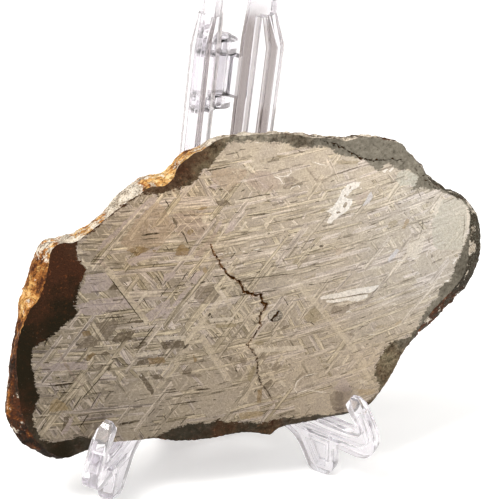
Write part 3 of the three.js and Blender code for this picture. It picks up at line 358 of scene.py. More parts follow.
# Fine lines, by look: half width, then across, up, across, up and so on
FINE_LINES = {"tan": [
    (0.3, -4.9, 57.4, -4.4, 56.7, -3.7, 56.1),
], "rose": [
    (0.3, -52.7, 33.1, -51.1, 29.7, -49.4, 26.6, -47.6, 23.8, -45.5, 21.8, -44.9, 20.7),
], "bar": [
    (0.14, -59.4, 13.5, -57.1, 13.7, -52.5, 13.6, -49, 13.7), (0.3, -49.4, 14, -48.8, 13.2), (0.12, -56.7,
    27.8, -54.7, 28.3, -53.4, 28.8, -51.7, 29.2), (0.16, -7.6, 28, -6.6, 27.7, -7.2, 26.7, -8.1, 26.8),
    (0.14, -4.8, 24.1, -3.7, 22.6, -2.5, 21, -1.6, 22.8), (0.12, -2.7, 20.4, -1.4, 18.1), (0.14, -2.1,
    17.8, -1.1, 17.7), (0.14, 3.4, 8.6, 5.7, 8.5, 8.4, 8.6, 9, 10.1, 9.9, 8.8), (0.12, 14.1, 15.2, 15,
    15.3), (0.1, 11.5, 77.8, 13.7, 77.9), (0.1, 19.8, 76.8, 20.5, 77.2, 21, 77.1), (0.1, 20.9, 76.7, 22.3,
    76.5), (0.12, -8.2, 73.8, -6.7, 76.1, -5.8, 76.9), (0.12, -5.1, 76.9, -4.9, 77.3, -3.5, 76.2, -2.4,
    74.7), (0.1, -2.2, 82.3, -1.4, 81.4, -0.8, 81.2), (0.1, 27.2, 84.6, 28.4, 84.2, 29.8, 84.3), (0.12,
    11.7, 86.3, 12.9, 88.3, 13.7, 90.3), (0.1, 8.4, 75.4, 11.6, 75.4, 14.4, 75.7), (0.12, 50.9, 72.6, 52,
    71.4, 55, 70.8), (0.12, 40.4, 65.4, 42.6, 65.4), (0.14, 45.3, 52.4, 46.1, 53.1), (0.12, 19.9, 47.1,
    20.6, 47.2, 21.5, 45.3), (0.12, 27.3, 13.7, 28.6, 14, 30, 14), (0.14, 28.4, 23.1, 30.8, 23.2, 32.1,
    23.8, 34, 24.9, 37.7, 25), (0.16, 33.6, 29.5, 34.4, 29.5), (0.12, 50.6, 57.4, 51.1, 58.3, 51.9, 58.5),
], "white": [
    (0.12, -4.8, 57.9, -3.9, 57.9), (0.12, -3.5, 57.9, -2.8, 57.9), (0.16, -2.3, 57.9, -1.4, 57.9), (0.16,
    -1.1, 58, 0.4, 58.1), (0.14, 1.8, 58.1, 3, 58.1), (0.1, 4, 58.4, 4.8, 58.2), (0.13, 5.3, 58.4, 6.3,
    58.6, 8, 58.7), (0.22, -28.2, 23.2, -27.8, 22.7), (0.12, 11.8, 80.1, 13.6, 79.9, 15.5, 80.1, 16.4,
    80.9, 16, 82), (0.12, 10.7, 80.4, 12.7, 79.3, 13.8, 78, 13.4, 77.4), (0.14, 16.3, 75.7, 17, 76.6,
    18.8, 77.1, 19.5, 76.2), (0.16, 4.5, 90.2, 6.1, 90), (0.1, 22.6, 84.1, 24.9, 83.4, 27.9, 82.6), (0.2,
    39, 75.5, 39.6, 75.3), (0.16, 48.4, 41.4, 49.9, 40.2), (0.16, 36.6, 36.9, 37.3, 37.6, 38.8, 37.1),
    (0.16, 50, 48.1, 50.9, 48.2), (0.14, 28.3, 18.6, 24.7, 18.2, 22.4, 17.3, 21.2, 16.1, 20.8, 14.2, 21.7,
    12.7), (0.14, 21.7, 12.7, 23.3, 13.3, 25.9, 13.4, 29.3, 12.5, 31.8, 12), (0.12, 44.6, 29.7, 47.1,
    29.4), (0.16, 53, 51.8, 53.9, 52.6, 55.2, 52.5), (0.14, 57.9, 53.2, 59.5, 52.6), (0.14, 49.7, 55.4,
    50.7, 55.9),
], "gold": [
    (0.16, -1.6, 51.6, -0.9, 51.8, -0.2, 51.4),
], "dusky_and_hook_shadow": [
    (0.1, 67.2, 71, 70.2, 71, 72.3, 71.2),
], "field": [
    (0.3, -19.7, 69.6, -19, 68, -18.3, 66.1), (0.2, -20.1, 69.9, -19.3, 68.6, -18.3, 67.5, -18.5, 66.3),
    (0.2, 9.6, 84.7, 10.3, 85.1, 10.8, 85.8),
], "olive": [
    (0.3, 11.1, 85.8, 13.3, 85.9, 15.2, 85.9),
], "slit": [
    (0.1, -44.7, 52.5, -40.9, 52.5), (0.1, -43.8, 51.2, -40.6, 51.1), (0.14, -33.9, 51.5, -32.4, 49.9),
    (0.2, -40.6, 41, -40.2, 41), (0.13, -28.6, 63.2, -26.2, 63.3, -23.5, 63.4), (0.16, -17, 65.2, -15.7,
    63.3, -14.8, 60.9), (0.12, -17.2, 65.2, -16.2, 64.2, -15.4, 62.6, -14.5, 60.8), (0.14, -16.5, 50.3,
    -15.6, 51.8, -14.5, 53.1), (0.14, -14.1, 50.2, -13, 51.8, -11.9, 53.3), (0.24, -13.8, 49.4, -12.8,
    49.4), (0.24, -11, 49.4, -10, 49.6, -9.1, 49.9), (0.22, -18.7, 49.1, -18, 49), (0.2, -11.4, 68.9,
    -11.3, 68.3), (0.14, -10.7, 66.1, -9.7, 65), (0.12, -55.1, 12.9, -56.5, 11, -57.9, 8.5), (0.13, -40.2,
    18.7, -41.7, 16.5, -43.1, 13.9), (0.22, -54.4, 18.9, -53.6, 19.5), (0.12, -30.6, 14.9, -28.5, 15.5,
    -25.8, 15.8), (0.12, -31.7, 6.9, -28.5, 7.1), (0.12, -17.3, 26.3, -15.2, 26.3, -13.5, 26.5), (0.1,
    -22.1, 17.1, -16, 17), (0.12, -13.8, 17.8, -11.5, 18.2, -7.7, 18.3), (0.1, -12.8, 15.2, -10, 15.1),
    (0.12, -23, 12, -20.6, 11.8), (0.12, -21, 10.1, -20, 8.6), (0.1, 10.5, 6.2, 12.1, 8.3, 15.5, 8.2,
    19.6, 7.7), (0.15, 16.9, 13.4, 17.5, 14), (0.2, 8.6, 72.6, 10.8, 72.8), (0.14, 7.5, 82.4, 9.7, 82.4),
    (0.16, 14.5, 66.6, 17.7, 67.1, 22.5, 68.1), (0.24, 9.6, 63.1, 10.7, 63.1), (0.22, 15.1, 63.7, 15.3,
    63.2), (0.16, 18.1, 87.6, 18.9, 87.1, 20, 86.6), (0.18, 0.9, 75.8, 1.5, 76.3, 2.2, 76.4), (0.18, 48.4,
    68.1, 49, 68.1), (0.16, 50.7, 68.2, 51.1, 68.2), (0.18, 54, 68.1, 55.1, 67.9), (0.16, 49.5, 63.9,
    49.9, 64), (0.16, 52.3, 65, 52.5, 65.2), (0.13, 34, 42, 40.7, 42.6, 44.5, 42.7), (0.17, 45.1, 42.5,
    46.1, 43.5, 47.4, 44.8), (0.2, 43, 38.6, 43.6, 38.5), (0.16, 17.9, 58.3, 20, 58.5), (0.14, 20.4, 58.2,
    21.4, 58.3), (0.13, 24.3, 52.7, 26.1, 53), (0.13, 24.7, 52.2, 28.1, 52.2), (0.1, 26.2, 47.1, 30.2,
    47.1, 34.5, 47.1), (0.22, 23.5, 46.9, 25.9, 46.7), (0.08, 47.3, 42.9, 48.5, 41.4), (0.14, 53.2, 37.7,
    55.9, 37.7), (0.16, 31, 32.5, 32, 32.7), (0.12, 41.1, 31.1, 42.5, 32.3, 44.8, 32.8), (0.14, 22.6,
    35.4, 25.2, 34.9, 26.4, 33.8), (0.1, 21.3, 35.4, 23.8, 39.9), (0.16, 61.1, 47.5, 62.1, 47.6), (0.16,
    62.7, 47.6, 63.8, 47.8), (0.12, 30.9, 28.1, 35.2, 28), (0.12, 30.1, 30.6, 31.1, 31.3), (0.13, 39,
    13.9, 39.6, 12.9), (0.16, 46.6, 15.3, 47.2, 14.6), (0.12, 42.8, 29.1, 45.3, 29.4), (0.16, 16.8, 13.1,
    17.3, 13.9), (0.1, 75.3, 66.5, 75.8, 62.1, 75.4, 57.5), (0.16, 55.5, 46, 55.8, 46.1), (0.16, 51.1,
    45.3, 51.6, 45.3), (0.12, 57.8, 48.4, 59.6, 48.7), (0.16, 66.1, 41.4, 67.3, 42.3, 68.3, 43.1), (0.12,
    60.9, 65.7, 61, 63.4, 60.8, 61.4, 60.2, 60),
], "edge": [
    (0.1, -18.9, 63.2, -16.7, 65.4, -13.2, 68.5, -9.9, 71), (0.1, -18.6, 70.2, -16.2, 67.7, -13.4, 65.3,
    -11.2, 62.2), (0.1, -16, 71.2, -13.2, 68.5, -10.6, 65.4), (0.1, -2.1, 59.4, -1.2, 59.7), (0.1, 3.2,
    59.3, 3.9, 59.5), (0.1, -2.3, 55.9, -0.8, 56), (0.1, -11.4, 49.1, -7.7, 49.3, -4.6, 49.4, -0.5, 49.8),
    (0.1, -22.3, 62.5, -20, 64.7, -18.5, 65.8, -16.5, 68, -15.3, 69.2), (0.1, -54.5, 22.9, -51.1, 22.7,
    -47.6, 22.8), (0.1, -21.7, 12.3, -20, 12.7), (0.12, 3.2, 81.5, 6.3, 82, 8.8, 82.1), (0.12, 9.9, 71.6,
    14.9, 72, 20, 71.5),
]}

# Combs of short pale grains: both ends of the row across and up, how many, their direction in
# degrees, half length
COMB_HALF_WIDTH = 0.11
COMBS = [
    (16.8, 18.2, 22.2, 21.9, 12, 99, 0.42), (15.3, 23.0, 18.6, 24.8, 7, 105, 0.5),
    (56.2, 54.8, 61.7, 56.8, 9, 84, 0.9),
]

# Look of a grain: colour, how far it covers what lies under it, how ragged its edge is
GRAIN_LOOKS = {
    "cream": ((0.395, 0.35, 0.275), 0.75, 1.0),
    # plate also paints the reflection of the hook tip beside the right ledge
    "plate": ((0.435, 0.36, 0.315), 0.7, 1.0),
    "tan": ((0.39, 0.3, 0.22), 0.5, 1.5),
    "rose": ((0.355, 0.275, 0.225), 0.45, 1.5),
    "green": ((0.375, 0.35, 0.28), 0.6, 1.5),
    "light": ((0.5, 0.42, 0.32), 0.6, 0.8),
    "bar": ((0.51, 0.435, 0.345), 0.85, 0.5),
    "white": ((0.62, 0.555, 0.48), 0.95, 0.8),
    "gold": ((0.37, 0.28, 0.17), 0.6, 1.5),
    "lilac": ((0.47, 0.43, 0.41), 0.8, 1.0),
    "dusky_and_hook_shadow": ((0.235, 0.187, 0.14), 0.65, 1.0),
    "field": ((0.18, 0.14, 0.1), 0.75, 1.1),
    "olive": ((0.27, 0.215, 0.13), 0.55, 1.5),
    "ochre": ((0.27, 0.185, 0.095), 0.6, 1.3),
    "edge": ((0.6, 0.5, 0.39), 0.65, 0.5),
    "slit": ((0.085, 0.062, 0.042), 0.8, 0.5),
}
FACE_MIDDLE = (0.385, 0.325, 0.26)
BAR_CORNERS = [(-1, -1), (1, -1), (1, 1), (-1, 1)]
SLIT_CORNERS = [(-1, 0), (-0.6, -1), (0.5, -1), (1, 0), (0.6, 1), (-0.5, 1)]

# Fine lines strewn over the figures: tries, corners of the field, least distance to the matte zone,
# least half length and how much longer most of them are, least half width and how much it varies
STREWN_TRIES = 900
STREWN_FIELD = ((-62, 3), (78, 91))
STREWN_MARGIN = 1.0
STREWN_LENGTH = (0.45, 0.9)
STREWN_WIDTH = (0.07, 0.09)


# Shapes

CURVE_STEPS = 24


def smooth(low, high, value):
    """Smooth step from 0 at low to 1 at high, which may lie below low."""
    share = min(max((value - low) / (high - low), 0), 1)
    return share * share * (3 - 2 * share)


def rounded_loop(points, count):
    """Points evenly spaced along a smooth closed curve through the given ones, with their extra
    values carried along."""
    total = len(points)
    ring = [np.array(p, float) for p in points]
    fine = []
    for i in range(total):
        p = [ring[(i + k) % total] for k in (-1, 0, 1, 2)]
        t = [0.0]
        for a, b in zip(p, p[1:]):
            t.append(t[-1] + math.sqrt(np.linalg.norm(b[:2] - a[:2])))
        for k in range(CURVE_STEPS):
            share = k / CURVE_STEPS
            at = t[1] + share * (t[2] - t[1])
            q = [blend_at(p[j], p[j + 1], t[j], t[j + 1], at) for j in range(3)]
            r = [blend_at(q[j], q[j + 1], t[j], t[j + 2], at) for j in range(2)]
            place = blend_at(r[0], r[1], t[1], t[2], at)
            fine.append(np.concatenate([place[:2], p[1][2:] + share * (p[2] - p[1])[2:]]))
    fine = np.array(fine)
    gaps = np.linalg.norm(np.roll(fine[:, :2], -1, axis=0) - fine[:, :2], axis=1)
    run = np.concatenate([[0], np.cumsum(gaps)])
    fine = np.vstack([fine, fine[:1]])
    at = np.linspace(0, run[-1], count, endpoint=False)
    return np.stack([np.interp(at, run, fine[:, k]) for k in range(fine.shape[1])], axis=1)


def blend_at(a, b, start, end, at):
    return a + (b - a) * ((at - start) / (end - start))


def outward(loop):
    """Unit vectors pointing out of a counter-clockwise loop."""
    along = np.roll(loop, -1, axis=0) - np.roll(loop, 1, axis=0)
    along /= np.linalg.norm(along, axis=1, keepdims=True)
    return np.stack([along[:, 1], -along[:, 0]], axis=1)


def distance_to_path(places, path, closed=False):
    """Distance of each place to a path, its nearest stretch, and the share along that stretch."""
    path = np.array(path, float)
    ends = np.roll(path, -1, axis=0)
    if not closed:
        path, ends = path[:-1], ends[:-1]
    best = np.full(len(places), 1e9)
    stretch = np.zeros(len(places), int)
    share = np.zeros(len(places))
    for i, (a, b) in enumerate(zip(path, ends)):
        run = b - a
        t = np.clip((places - a) @ run / (run @ run), 0, 1)
        gap = np.linalg.norm(places - (a + t[:, None] * run), axis=1)
        nearer = gap < best
        best[nearer] = gap[nearer]
        stretch[nearer] = i
        share[nearer] = t[nearer]
    return best, stretch, share


def triangulate(loops, inner=()):
    """Triangles that follow closed loops and use the inner points: points, triangles, and where each
    point came from."""
    places, edges = [], []
    for loop in loops:
        start = len(places)
        places += [Vector(p) for p in loop]
        edges += [(start + i, start + (i + 1) % len(loop)) for i in range(len(loop))]
    places += [Vector(p) for p in inner]
    found, _, faces, origin, _, _ = delaunay_2d_cdt(places, edges, [], 1, 1e-7)
    return [tuple(p) for p in found], [tuple(face) for face in faces], origin


def inside_loop(places, loop):
    """Whether each place lies inside a closed loop."""
    loop = np.array(loop, float)
    inside = np.zeros(len(places), bool)
    for (x0, y0), (x1, y1) in zip(loop, np.roll(loop, -1, axis=0)):
        crosses = (y0 > places[:, 1]) != (y1 > places[:, 1])
        reach = x0 + (places[:, 1] - y0) * (x1 - x0) / ((y1 - y0) or 1e-9)
        inside ^= crosses & (places[:, 0] < reach)
    return inside


def wobble(x, y, z, scale, seed=0.0):
    """Smooth random value from about -1 to 1."""
    return noise.noise(Vector((x * scale + seed, y * scale - seed, z * scale + 2 * seed)))


def new_piece(name, verts, faces, materials):
    mesh = bpy.data.meshes.new(name)
    mesh.from_pydata(verts, [], faces)
    mesh.update()
    piece = bpy.data.objects.new(name, mesh)
    bpy.context.scene.collection.objects.link(piece)
    for material in materials:
        mesh.materials.append(material)
    return piece


# Slice of the meteorite

# Rows of the crust as shares of the thickness, and the share at which it bulges most
CRUST_ROWS = [0, 0.03, 0.07, 0.12, 0.18, 0.24, 0.3, 0.36, 0.42, 0.48, 0.54, 0.6, 0.66, 0.72, 0.78,
              0.84, 0.9, 0.95, 0.98, 1]
BULGE_AT = 0.45

# Lumps of the crust: fineness, seed, height. Pits in it: depth
CRUST_WAVES = [(0.3, 0, 0.75), (0.8, 7, 0.42), (2, 3, 0.16)]
PIT_DEPTH = 0.55

# Where the crust rests on the easel's ledges, and how far round each place it stays calm
LEDGE_RESTS = [Vector((-32, 3)), Vector((35.5, 4))]
CALM_REACH = (3, 9)

# Spacing of the cut face's points and how much they are shaken, as a share of it: over the field and
# along the cracks. Then how far the close rows reach, where the wide ones start, and the room to the rim
FIELD_STEP, FIELD_SHAKE = 1.0, 0.3
FINE_STEP, FINE_SHAKE = 0.2, 0.2
FINE_REACH = 0.95
FIELD_START = 1.3
RIM_ROOM = 0.45

GRAIN_STEP = 0.6
GRAIN_PUSH = 0.3
SPREAD_SOFTNESS = 8


def crust_reach(x, s, share, middle, back, lumps):
    """How far the crust stands out of the front edge at a share of the thickness, in mm."""
    if share < BULGE_AT:
        stand = middle * math.sin(share / BULGE_AT * math.pi / 2)
    else:
        stand = middle + (back - middle) * (share - BULGE_AT) / (1 - BULGE_AT)
    depth = share * SLICE_THICKNESS
    rough = sum(wobble(x, s, depth, scale, seed) * height for scale, seed, height in CRUST_WAVES)
    pit = smooth(0.22, 0.5, wobble(x, s, depth, 1.1, 11)) * PIT_DEPTH
    edge = smooth(0, 0.12, min(share, 1 - share))
    at = Vector((x, s))
    free = min(smooth(*CALM_REACH, (at - rest).length) for rest in LEDGE_RESTS)
    low = 0.22 * wobble(x, s, depth, 0.9, 5) * (1 - edge)
    return stand + (lumps * (rough - pit) * edge + low) * (0.2 + 0.8 * free) - 0.25 * (1 - free)


def strayed(places):
    """Places pushed about a little, so that what is measured from them runs ragged."""

    def push(x, s, layer, seed):
        return 0.5 * wobble(x, s, layer, 0.8, seed) + 0.4 * wobble(x, s, layer, 2, seed + 1)

    return places + np.array([(push(x, s, 0, 21), push(x, s, 5, 23)) for x, s in places])


def crack_sink(places):
    """Depth of the cracks and of the nodule's bed under the cut face at each place, in mm, and how
    close the main crack is."""
    sink = np.zeros(len(places))
    moved = strayed(places)
    swell = [1 + CRACK_RAG * wobble(x, s, 0, 1.1, 25) for x, s in places]
    ragged = np.maximum(CRACK_LEAST, swell)
    for depth, widths, path in CRACKS:
        gap, stretch, share = distance_to_path(moved, path)
        along = (stretch + share) / (len(path) - 1)
        width = np.interp(along, np.linspace(0, 1, len(widths)), widths) * ragged
        drop = depth * np.sqrt(width / max(widths)) * np.clip(1.3 - 2 * gap / width, 0, 1)
        sink = np.maximum(sink, drop)
    offset = moved - np.array(NODULE)
    oval = np.hypot(offset[:, 0] / NODULE_HALF[0], offset[:, 1] / NODULE_HALF[1])
    sink = np.maximum(sink, NODULE_BED * np.clip((1 - oval) * 4, 0, 1))
    slit = 1.3 - np.abs(offset @ NODULE_ACROSS - NODULE_SLIT_OFF) / NODULE_SLIT_HALF
    slit = np.maximum(sink, NODULE_SLIT * np.clip(slit, 0, 1))
    sink = np.where(oval < NODULE_SLIT_SPAN, slit, sink)
    main, _, _ = distance_to_path(moved, CRACKS[0][2])
    return sink, main


def shaken_grid(rng, boundary, step, shake):
    """Points of a grid over the boundary's box, each moved at random by a share of the step."""
    low, high = boundary.min(0), boundary.max(0)
    across, up = np.meshgrid(np.arange(low[0], high[0], step), np.arange(low[1], high[1], step))
    grid = np.stack([across.ravel(), up.ravel()], axis=1)
    return grid + rng.uniform(-shake, shake, grid.shape) * step


def face_places(boundary, front):
    """Points to fill a cut face: an even field, and close rows along the cracks on the front."""
    rng = np.random.default_rng(4)
    inner = shaken_grid(rng, boundary, FIELD_STEP, FIELD_SHAKE)
    if front:
        fine = shaken_grid(rng, boundary, FINE_STEP, FINE_SHAKE)
        fine = fine[near_detail(fine) < FINE_REACH]
        inner = np.vstack([inner[near_detail(inner) > FIELD_START], fine])
    to_rim, _, _ = distance_to_path(inner, boundary, closed=True)
    return inner[inside_loop(inner, boundary) & (to_rim > RIM_ROOM)]


def near_detail(places):
    """Distance of each place to the nearest crack or to the nodule."""
    gap = np.linalg.norm(places - np.array(NODULE), axis=1) - max(NODULE_HALF)
    for _, _, path in CRACKS:
        gap = np.minimum(gap, distance_to_path(places, path)[0])
    return gap


def depth_in_zone(places):
    """Signed distance into the matte zone round the etched figures."""
    gap, _, _ = distance_to_path(places, ZONE_EDGE, closed=True)
    return np.where(inside_loop(places, ZONE_EDGE), -gap, gap)


def spread(places, table):
    """The values of the table's rows, spread smoothly over the places by nearness."""
    spots = np.array(table, float)
    gap = np.linalg.norm(places[:, None, :] - spots[None, :, :2], axis=2)
    weight = 1 / (gap**3 + SPREAD_SOFTNESS)
    weight /= weight.sum(axis=1, keepdims=True)
    return (weight @ spots[:, 2:]).T


def add_grains(mesh, place, faces, outlines):
    """Gives each front triangle the colour and cover of its grain; some grains are the painted reflection
    and shadow of the hook tip.
    """
    centres = place[[face[:3] for face in faces]].mean(axis=1)
    colour, cover = grain_values(centres[:, [0, 2]], outlines)
    cover[centres[:, 1] > SLICE_THICKNESS / 2] = 0
    add_values(mesh, "grain_and_reflection_cover", cover, "FACE")
    add_values(mesh, "grain_and_reflection_colour", colour, "FACE")


def ragged_outline(corners, rag):
    """Closed outline through the corners, its sides broken up and pushed about a little."""
    outline = []
    for a, b in zip(corners, corners[1:] + corners[:1]):
        a, b = Vector(a), Vector(b)
        count = max(1, round((b - a).length / GRAIN_STEP))
        outline += [a.lerp(b, k / count) for k in range(count)]
    push = rag * GRAIN_PUSH
    return [
        (x + push * wobble(x, s, 0, 1.1, 31), s + push * wobble(x, s, 0, 1.1, 57))
        for x, s in outline
    ]


def pairs(row):
    """The points of a flat row of numbers."""
    return [Vector(p) for p in zip(row[::2], row[1::2])]


def strip(points, half):
    """Outline of a fine line through the points, pointed at both ends."""
    sides = []
    for before, at, after in zip(points, points[1:], points[2:]):
        along = (after - before).normalized() * half
        sides.append((at + Vector((-along.y, along.x)), at - Vector((-along.y, along.x))))
    left, right = [a for a, _ in sides], [b for _, b in sides]
    return [points[0], *left, points[-1], *right[::-1]]


def straight_grain(corners, x, s, angle, half_length, half_width, slant):
    turn = Matrix.Rotation(math.radians(angle), 2)
    return [
        turn @ Vector((a * half_length - slant * b * half_width, b * half_width)) + Vector((x, s))
        for a, b in corners
    ]


def grain_outlines():
    """Look and outline of each grain that stands out, and of the painted reflection and shadow of the hook
    tip, the later ones over the earlier ones.
    """
    found = strewn_lines()
    found += [(look, pairs(row)) for look, rows in GRAIN_OUTLINES.items() for row in rows]
    for look, grains in STRAIGHT_GRAINS.items():
        corners = SLIT_CORNERS if look == "slit" else BAR_CORNERS
        found += [(look, straight_grain(corners, *grain)) for grain in grains]
    for x0, s0, x1, s1, count, angle, half_length in COMBS:
        for at in np.linspace((x0, s0), (x1, s1), count):
            tooth = straight_grain(BAR_CORNERS, *at, angle, half_length, COMB_HALF_WIDTH, 0)
            found.append(("bar", tooth))
    for look, rows in FINE_LINES.items():
        found += [(look, strip(evened(pairs(row[1:])), row[0])) for row in rows]
    return [(look, ragged_outline(outline, GRAIN_LOOKS[look][2])) for look, outline in found]


def strewn_lines():
    """Look and outline of short fine lines strewn over the figures, along the lamellae."""
    rng = np.random.default_rng(11)
    spots = rng.uniform(*STREWN_FIELD, (STREWN_TRIES, 2))
    spots = spots[depth_in_zone(spots) < -STREWN_MARGIN]
    crossed, plain, _ = spread(spots, FIGURE_PLACES)
    found = []
    for (x, s), cross, calm in zip(spots, crossed, plain):
        chance, turn, longer, wider, look = rng.random(5)
        if chance < 0.8 * calm:
            continue
        level = math.degrees(math.atan(2 * LEVEL_BOW * (x + BOW_START)))
        angle = level if turn > 0.5 * cross else (RISING if turn > 0.25 * cross else FALLING)
        half_length = STREWN_LENGTH[0] - STREWN_LENGTH[1] * math.log(1 - 0.93 * longer)
        half_width = STREWN_WIDTH[0] + STREWN_WIDTH[1] * wider
        look = "slit" if look < 0.4 else ("edge" if look < 0.8 else "bar")
        found.append((look, straight_grain(SLIT_CORNERS, x, s, angle, half_length, half_width, 0)))
    return found


def evened(points):
    """A path with a point halfway between each two, so that even a single stretch has a middle."""
    path = [points[0]]
    for a, b in zip(points, points[1:]):
        path += [(a + b) / 2, b]
    return path


def grain_values(places, outlines):
    """Colour and cover of the grain that each place lies in."""
    colour, cover = np.ones((len(places), 3)), np.zeros(len(places))
    for look, outline in outlines:
        low, high = np.min(outline, axis=0), np.max(outline, axis=0)
        near = np.flatnonzero(((places >= low) & (places <= high)).all(axis=1))
        within = near[inside_loop(places[near], outline)]
        colour[within] = GRAIN_LOOKS[look][0]
        cover[within] = GRAIN_LOOKS[look][1]
    return colour, cover


def slice_mesh(samples, lumps, outlines):
    """Vertices across, into the depth and up in mm, faces, and whether each face is crust."""
    rim = rounded_loop(RIM, samples)
    out = outward(rim[:, :2])
    rows = []
    for share in CRUST_ROWS:
        ring = []
        for (x, s, middle, back), (ox, os) in zip(rim, out):
            reach = crust_reach(x, s, share, middle, back, lumps)
            ring.append((x + ox * reach, share * SLICE_THICKNESS, s + os * reach))
        rows.append(ring)
    verts = [p for ring in rows for p in ring]
    faces = []
    for row in range(len(rows) - 1):
        for i in range(samples):
            a, b = row * samples + i, row * samples + (i + 1) % samples
            faces.append((a, a + samples, b + samples, b))
    crust = len(faces)
    for ring, start, front in ((rows[0], 0, True), (rows[-1], (len(rows) - 1) * samples, False)):
        boundary = np.array([(x, s) for x, _, s in ring])
        grains = [outline for _, outline in outlines] if front else []
        found, triangles, origin = triangulate([boundary, *grains], face_places(boundary, front))
        depth = crack_sink(np.array(found))[0] if front else [SLICE_THICKNESS] * len(found)
        name = {}
        for i, source in enumerate(origin):
            edge = [k for k in source if k < samples]
            if edge:
                name[i] = start + edge[0]
            else:
                name[i] = len(verts)
                verts.append((found[i][0], depth[i], found[i][1]))
        for a, b, c in triangles:
            corners = (name[a], name[b], name[c])
            faces.append(corners if front else corners[::-1])
    return verts, faces, crust


def add_values(mesh, name, values, domain="POINT"):
    """Stores one number for each point or face of the mesh, or one vector for each."""
    values = np.asarray(values, np.float32)
    if values.ndim == 1:
        layer = mesh.attributes.new(name, "FLOAT", domain)
        layer.data.foreach_set("value", values)
    else:
        layer = mesh.attributes.new(name, "FLOAT_VECTOR", domain)
        layer.data.foreach_set("vector", values.ravel())


def make_slice(settings):
    samples = settings.rim_samples
    outlines = grain_outlines()
    verts, faces, crust = slice_mesh(samples, settings.crust_lumps, outlines)
    piece = new_piece(
        "meteorite_slice_etched", verts, faces, [etched_iron(settings), rusty_crust(settings)]
    )
    mesh = piece.data
    place = np.array(verts)
    flat = place[:, [0, 2]]
    add_values(mesh, "face_mm", place[:, [0, 2, 1]])
    add_values(mesh, "rim_mm", rim_run(place, samples))
    add_values(mesh, "zone", depth_in_zone(flat))
    add_values(mesh, "crack_gap", crack_sink(flat)[1])
    for names, table in (
        (("crossed", "plain", "warm"), FIGURE_PLACES),
        (("zone_brown", "zone_light"), ZONE_TINTS),
        (("rusty", "pale"), CRUST_TINTS),
    ):
        for name, values in zip(names, spread(flat, table)):
            add_values(mesh, name, values)
    add_grains(mesh, place, faces, outlines)
    for polygon in mesh.polygons:
        polygon.material_index = 1 if polygon.index < crust else 0
        polygon.use_smooth = polygon.index < crust
    keep_edge_crisp(mesh, samples)
    stand = Matrix.Translation(SLICE_FOOT) @ Matrix.Rotation(-SLICE_LEAN, 4, "X")
    mesh.transform(stand @ Matrix.Scale(MM, 4))
    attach(piece, "stand_left")
    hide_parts("meteorite_slice")


def rim_run(place, samples):
    """The rim laid out as an even circle, so that a texture can run along the crust."""
    front = place[:samples]
    radius = np.linalg.norm(np.roll(front, -1, axis=0) - front, axis=1).sum() / (2 * math.pi)
    turn = 2 * math.pi * (np.arange(len(place)) % samples) / samples
    return np.stack([radius * np.cos(turn), radius * np.sin(turn), place[:, 1]], axis=1)


def keep_edge_crisp(mesh, samples):
    """Marks the two sawn edges of the slice as sharp."""
    last = (len(CRUST_ROWS) - 1) * samples
    for edge in mesh.edges:
        a, b = edge.vertices
        on_front = a < samples and b < samples
        on_back = last <= a < last + samples and last <= b < last + samples
        if on_front or on_back:
            edge.use_edge_sharp = True


# Clear easel

FRAME_THICKNESS = 5.0
EDGE_ROUND = 0.55
HOLLOW_DEPTH = 1.5
HOLLOW_EDGE = 0.22
KNUCKLE_RADIUS = 4.6
BORE_RADIUS = 1.9
EAR_HEIGHT = 3.7
EAR_FOOT = 108.5
BARREL_HEIGHT = 12.3
RUNNING_GAP = 0.4
LEG_BACK = 7.0
WEB_BITE = 1.0
BORE_SPARE = 9.0
BORE_LENGTH = 50.0
ROUND_SIDES = 48

# Corners of the hook's tip, cut off on a slant: how far forward, from and to which height, how deep
TIP_BACK = 54.0
TIP_FOOT = 26.4
TIP_TOP = 29.4
TIP_CUT = 1.5

# Heights over which the painted shade of the raised edges fades in at the foot and out at the top
RAIL_FOOT = (24.0, 60.0)
RAIL_TOP = (141.5, 136.0)

# Fillet at the foot of a hollow's wall: how far in, and how far above its floor
HOLLOW_FILLET = [(0.1, 0.2), (0.3, 0.0)]

# Edges sharper than this stay sharp in shading, in degrees
FRAME_CREASE = 32
PIN_CREASE = 35

# Strokes of an outline in mm, forward from the hinge and up: two numbers are a straight line to
# that point, four a curve with one control point and six a curve with two
FRAME_START = (8.4, 0)
FRAME_STROKES = [
    (15, 0), (17.4, 0.3, 18.4, 3.2), (21.5, 10.5, 27, 13, 33, 12.6), (38, 12, 41.5, 10.6, 43.6, 7.8),
    (47.4, 2), (48.8, 0, 50.4, 0), (53.6, 0), (55.6, 0.2, 56.4, 2, 56.2, 4.4), (55.3, 8.8),
    (55, 10.9, 57.2, 10.6), (62.6, 10.2), (66.8, 10, 68.9, 12.8, 68.2, 16.2), (67.4, 19.6, 65.2, 23),
    (62, 27.6), (60, 29.4), (57.8, 29.2), (56.8, 26.8), (58, 24.2, 60.4, 22.4, 61, 20.4),
    (61.3, 18.4, 58.6, 18.3), (55, 18.3, 52, 18.9), (29, 18.9), (22.5, 19.5, 19, 24, 19, 31),
    (19, 131), (16.8, 135.6, 15.2, 140), (15.2, 158), (15.2, 162, 11.4, 162), (7.6, 162, 7.6, 158),
    (7.6, 140), (7, 131), (7, 1.6), (7, 0, 8.4, 0),
]
HOLLOWS = [
    ((10.8, 6), [(14, 6), (15.4, 12, 15.4, 20), (15.4, 130), (13.2, 138.4), (11, 138.4), (10.8, 6)]),
    ((24, 15), [
        (32, 15.8, 44, 13.2), (62, 12.8), (65.5, 13.2, 65.2, 16.4), (61.2, 23.6), (60.4, 23),
        (63.2, 20.6, 63.2, 18.4), (62.4, 15.8, 57, 15.8), (50, 15.8, 46, 16.4), (24, 16.6), (24, 15),
    ]),
    ((50.4, 3), [(53.4, 3.4), (52.6, 10.4), (45.8, 10.4), (50.4, 3)]),
]


CURVE_SPACING = 0.7
LINE_SPACING = 4.0


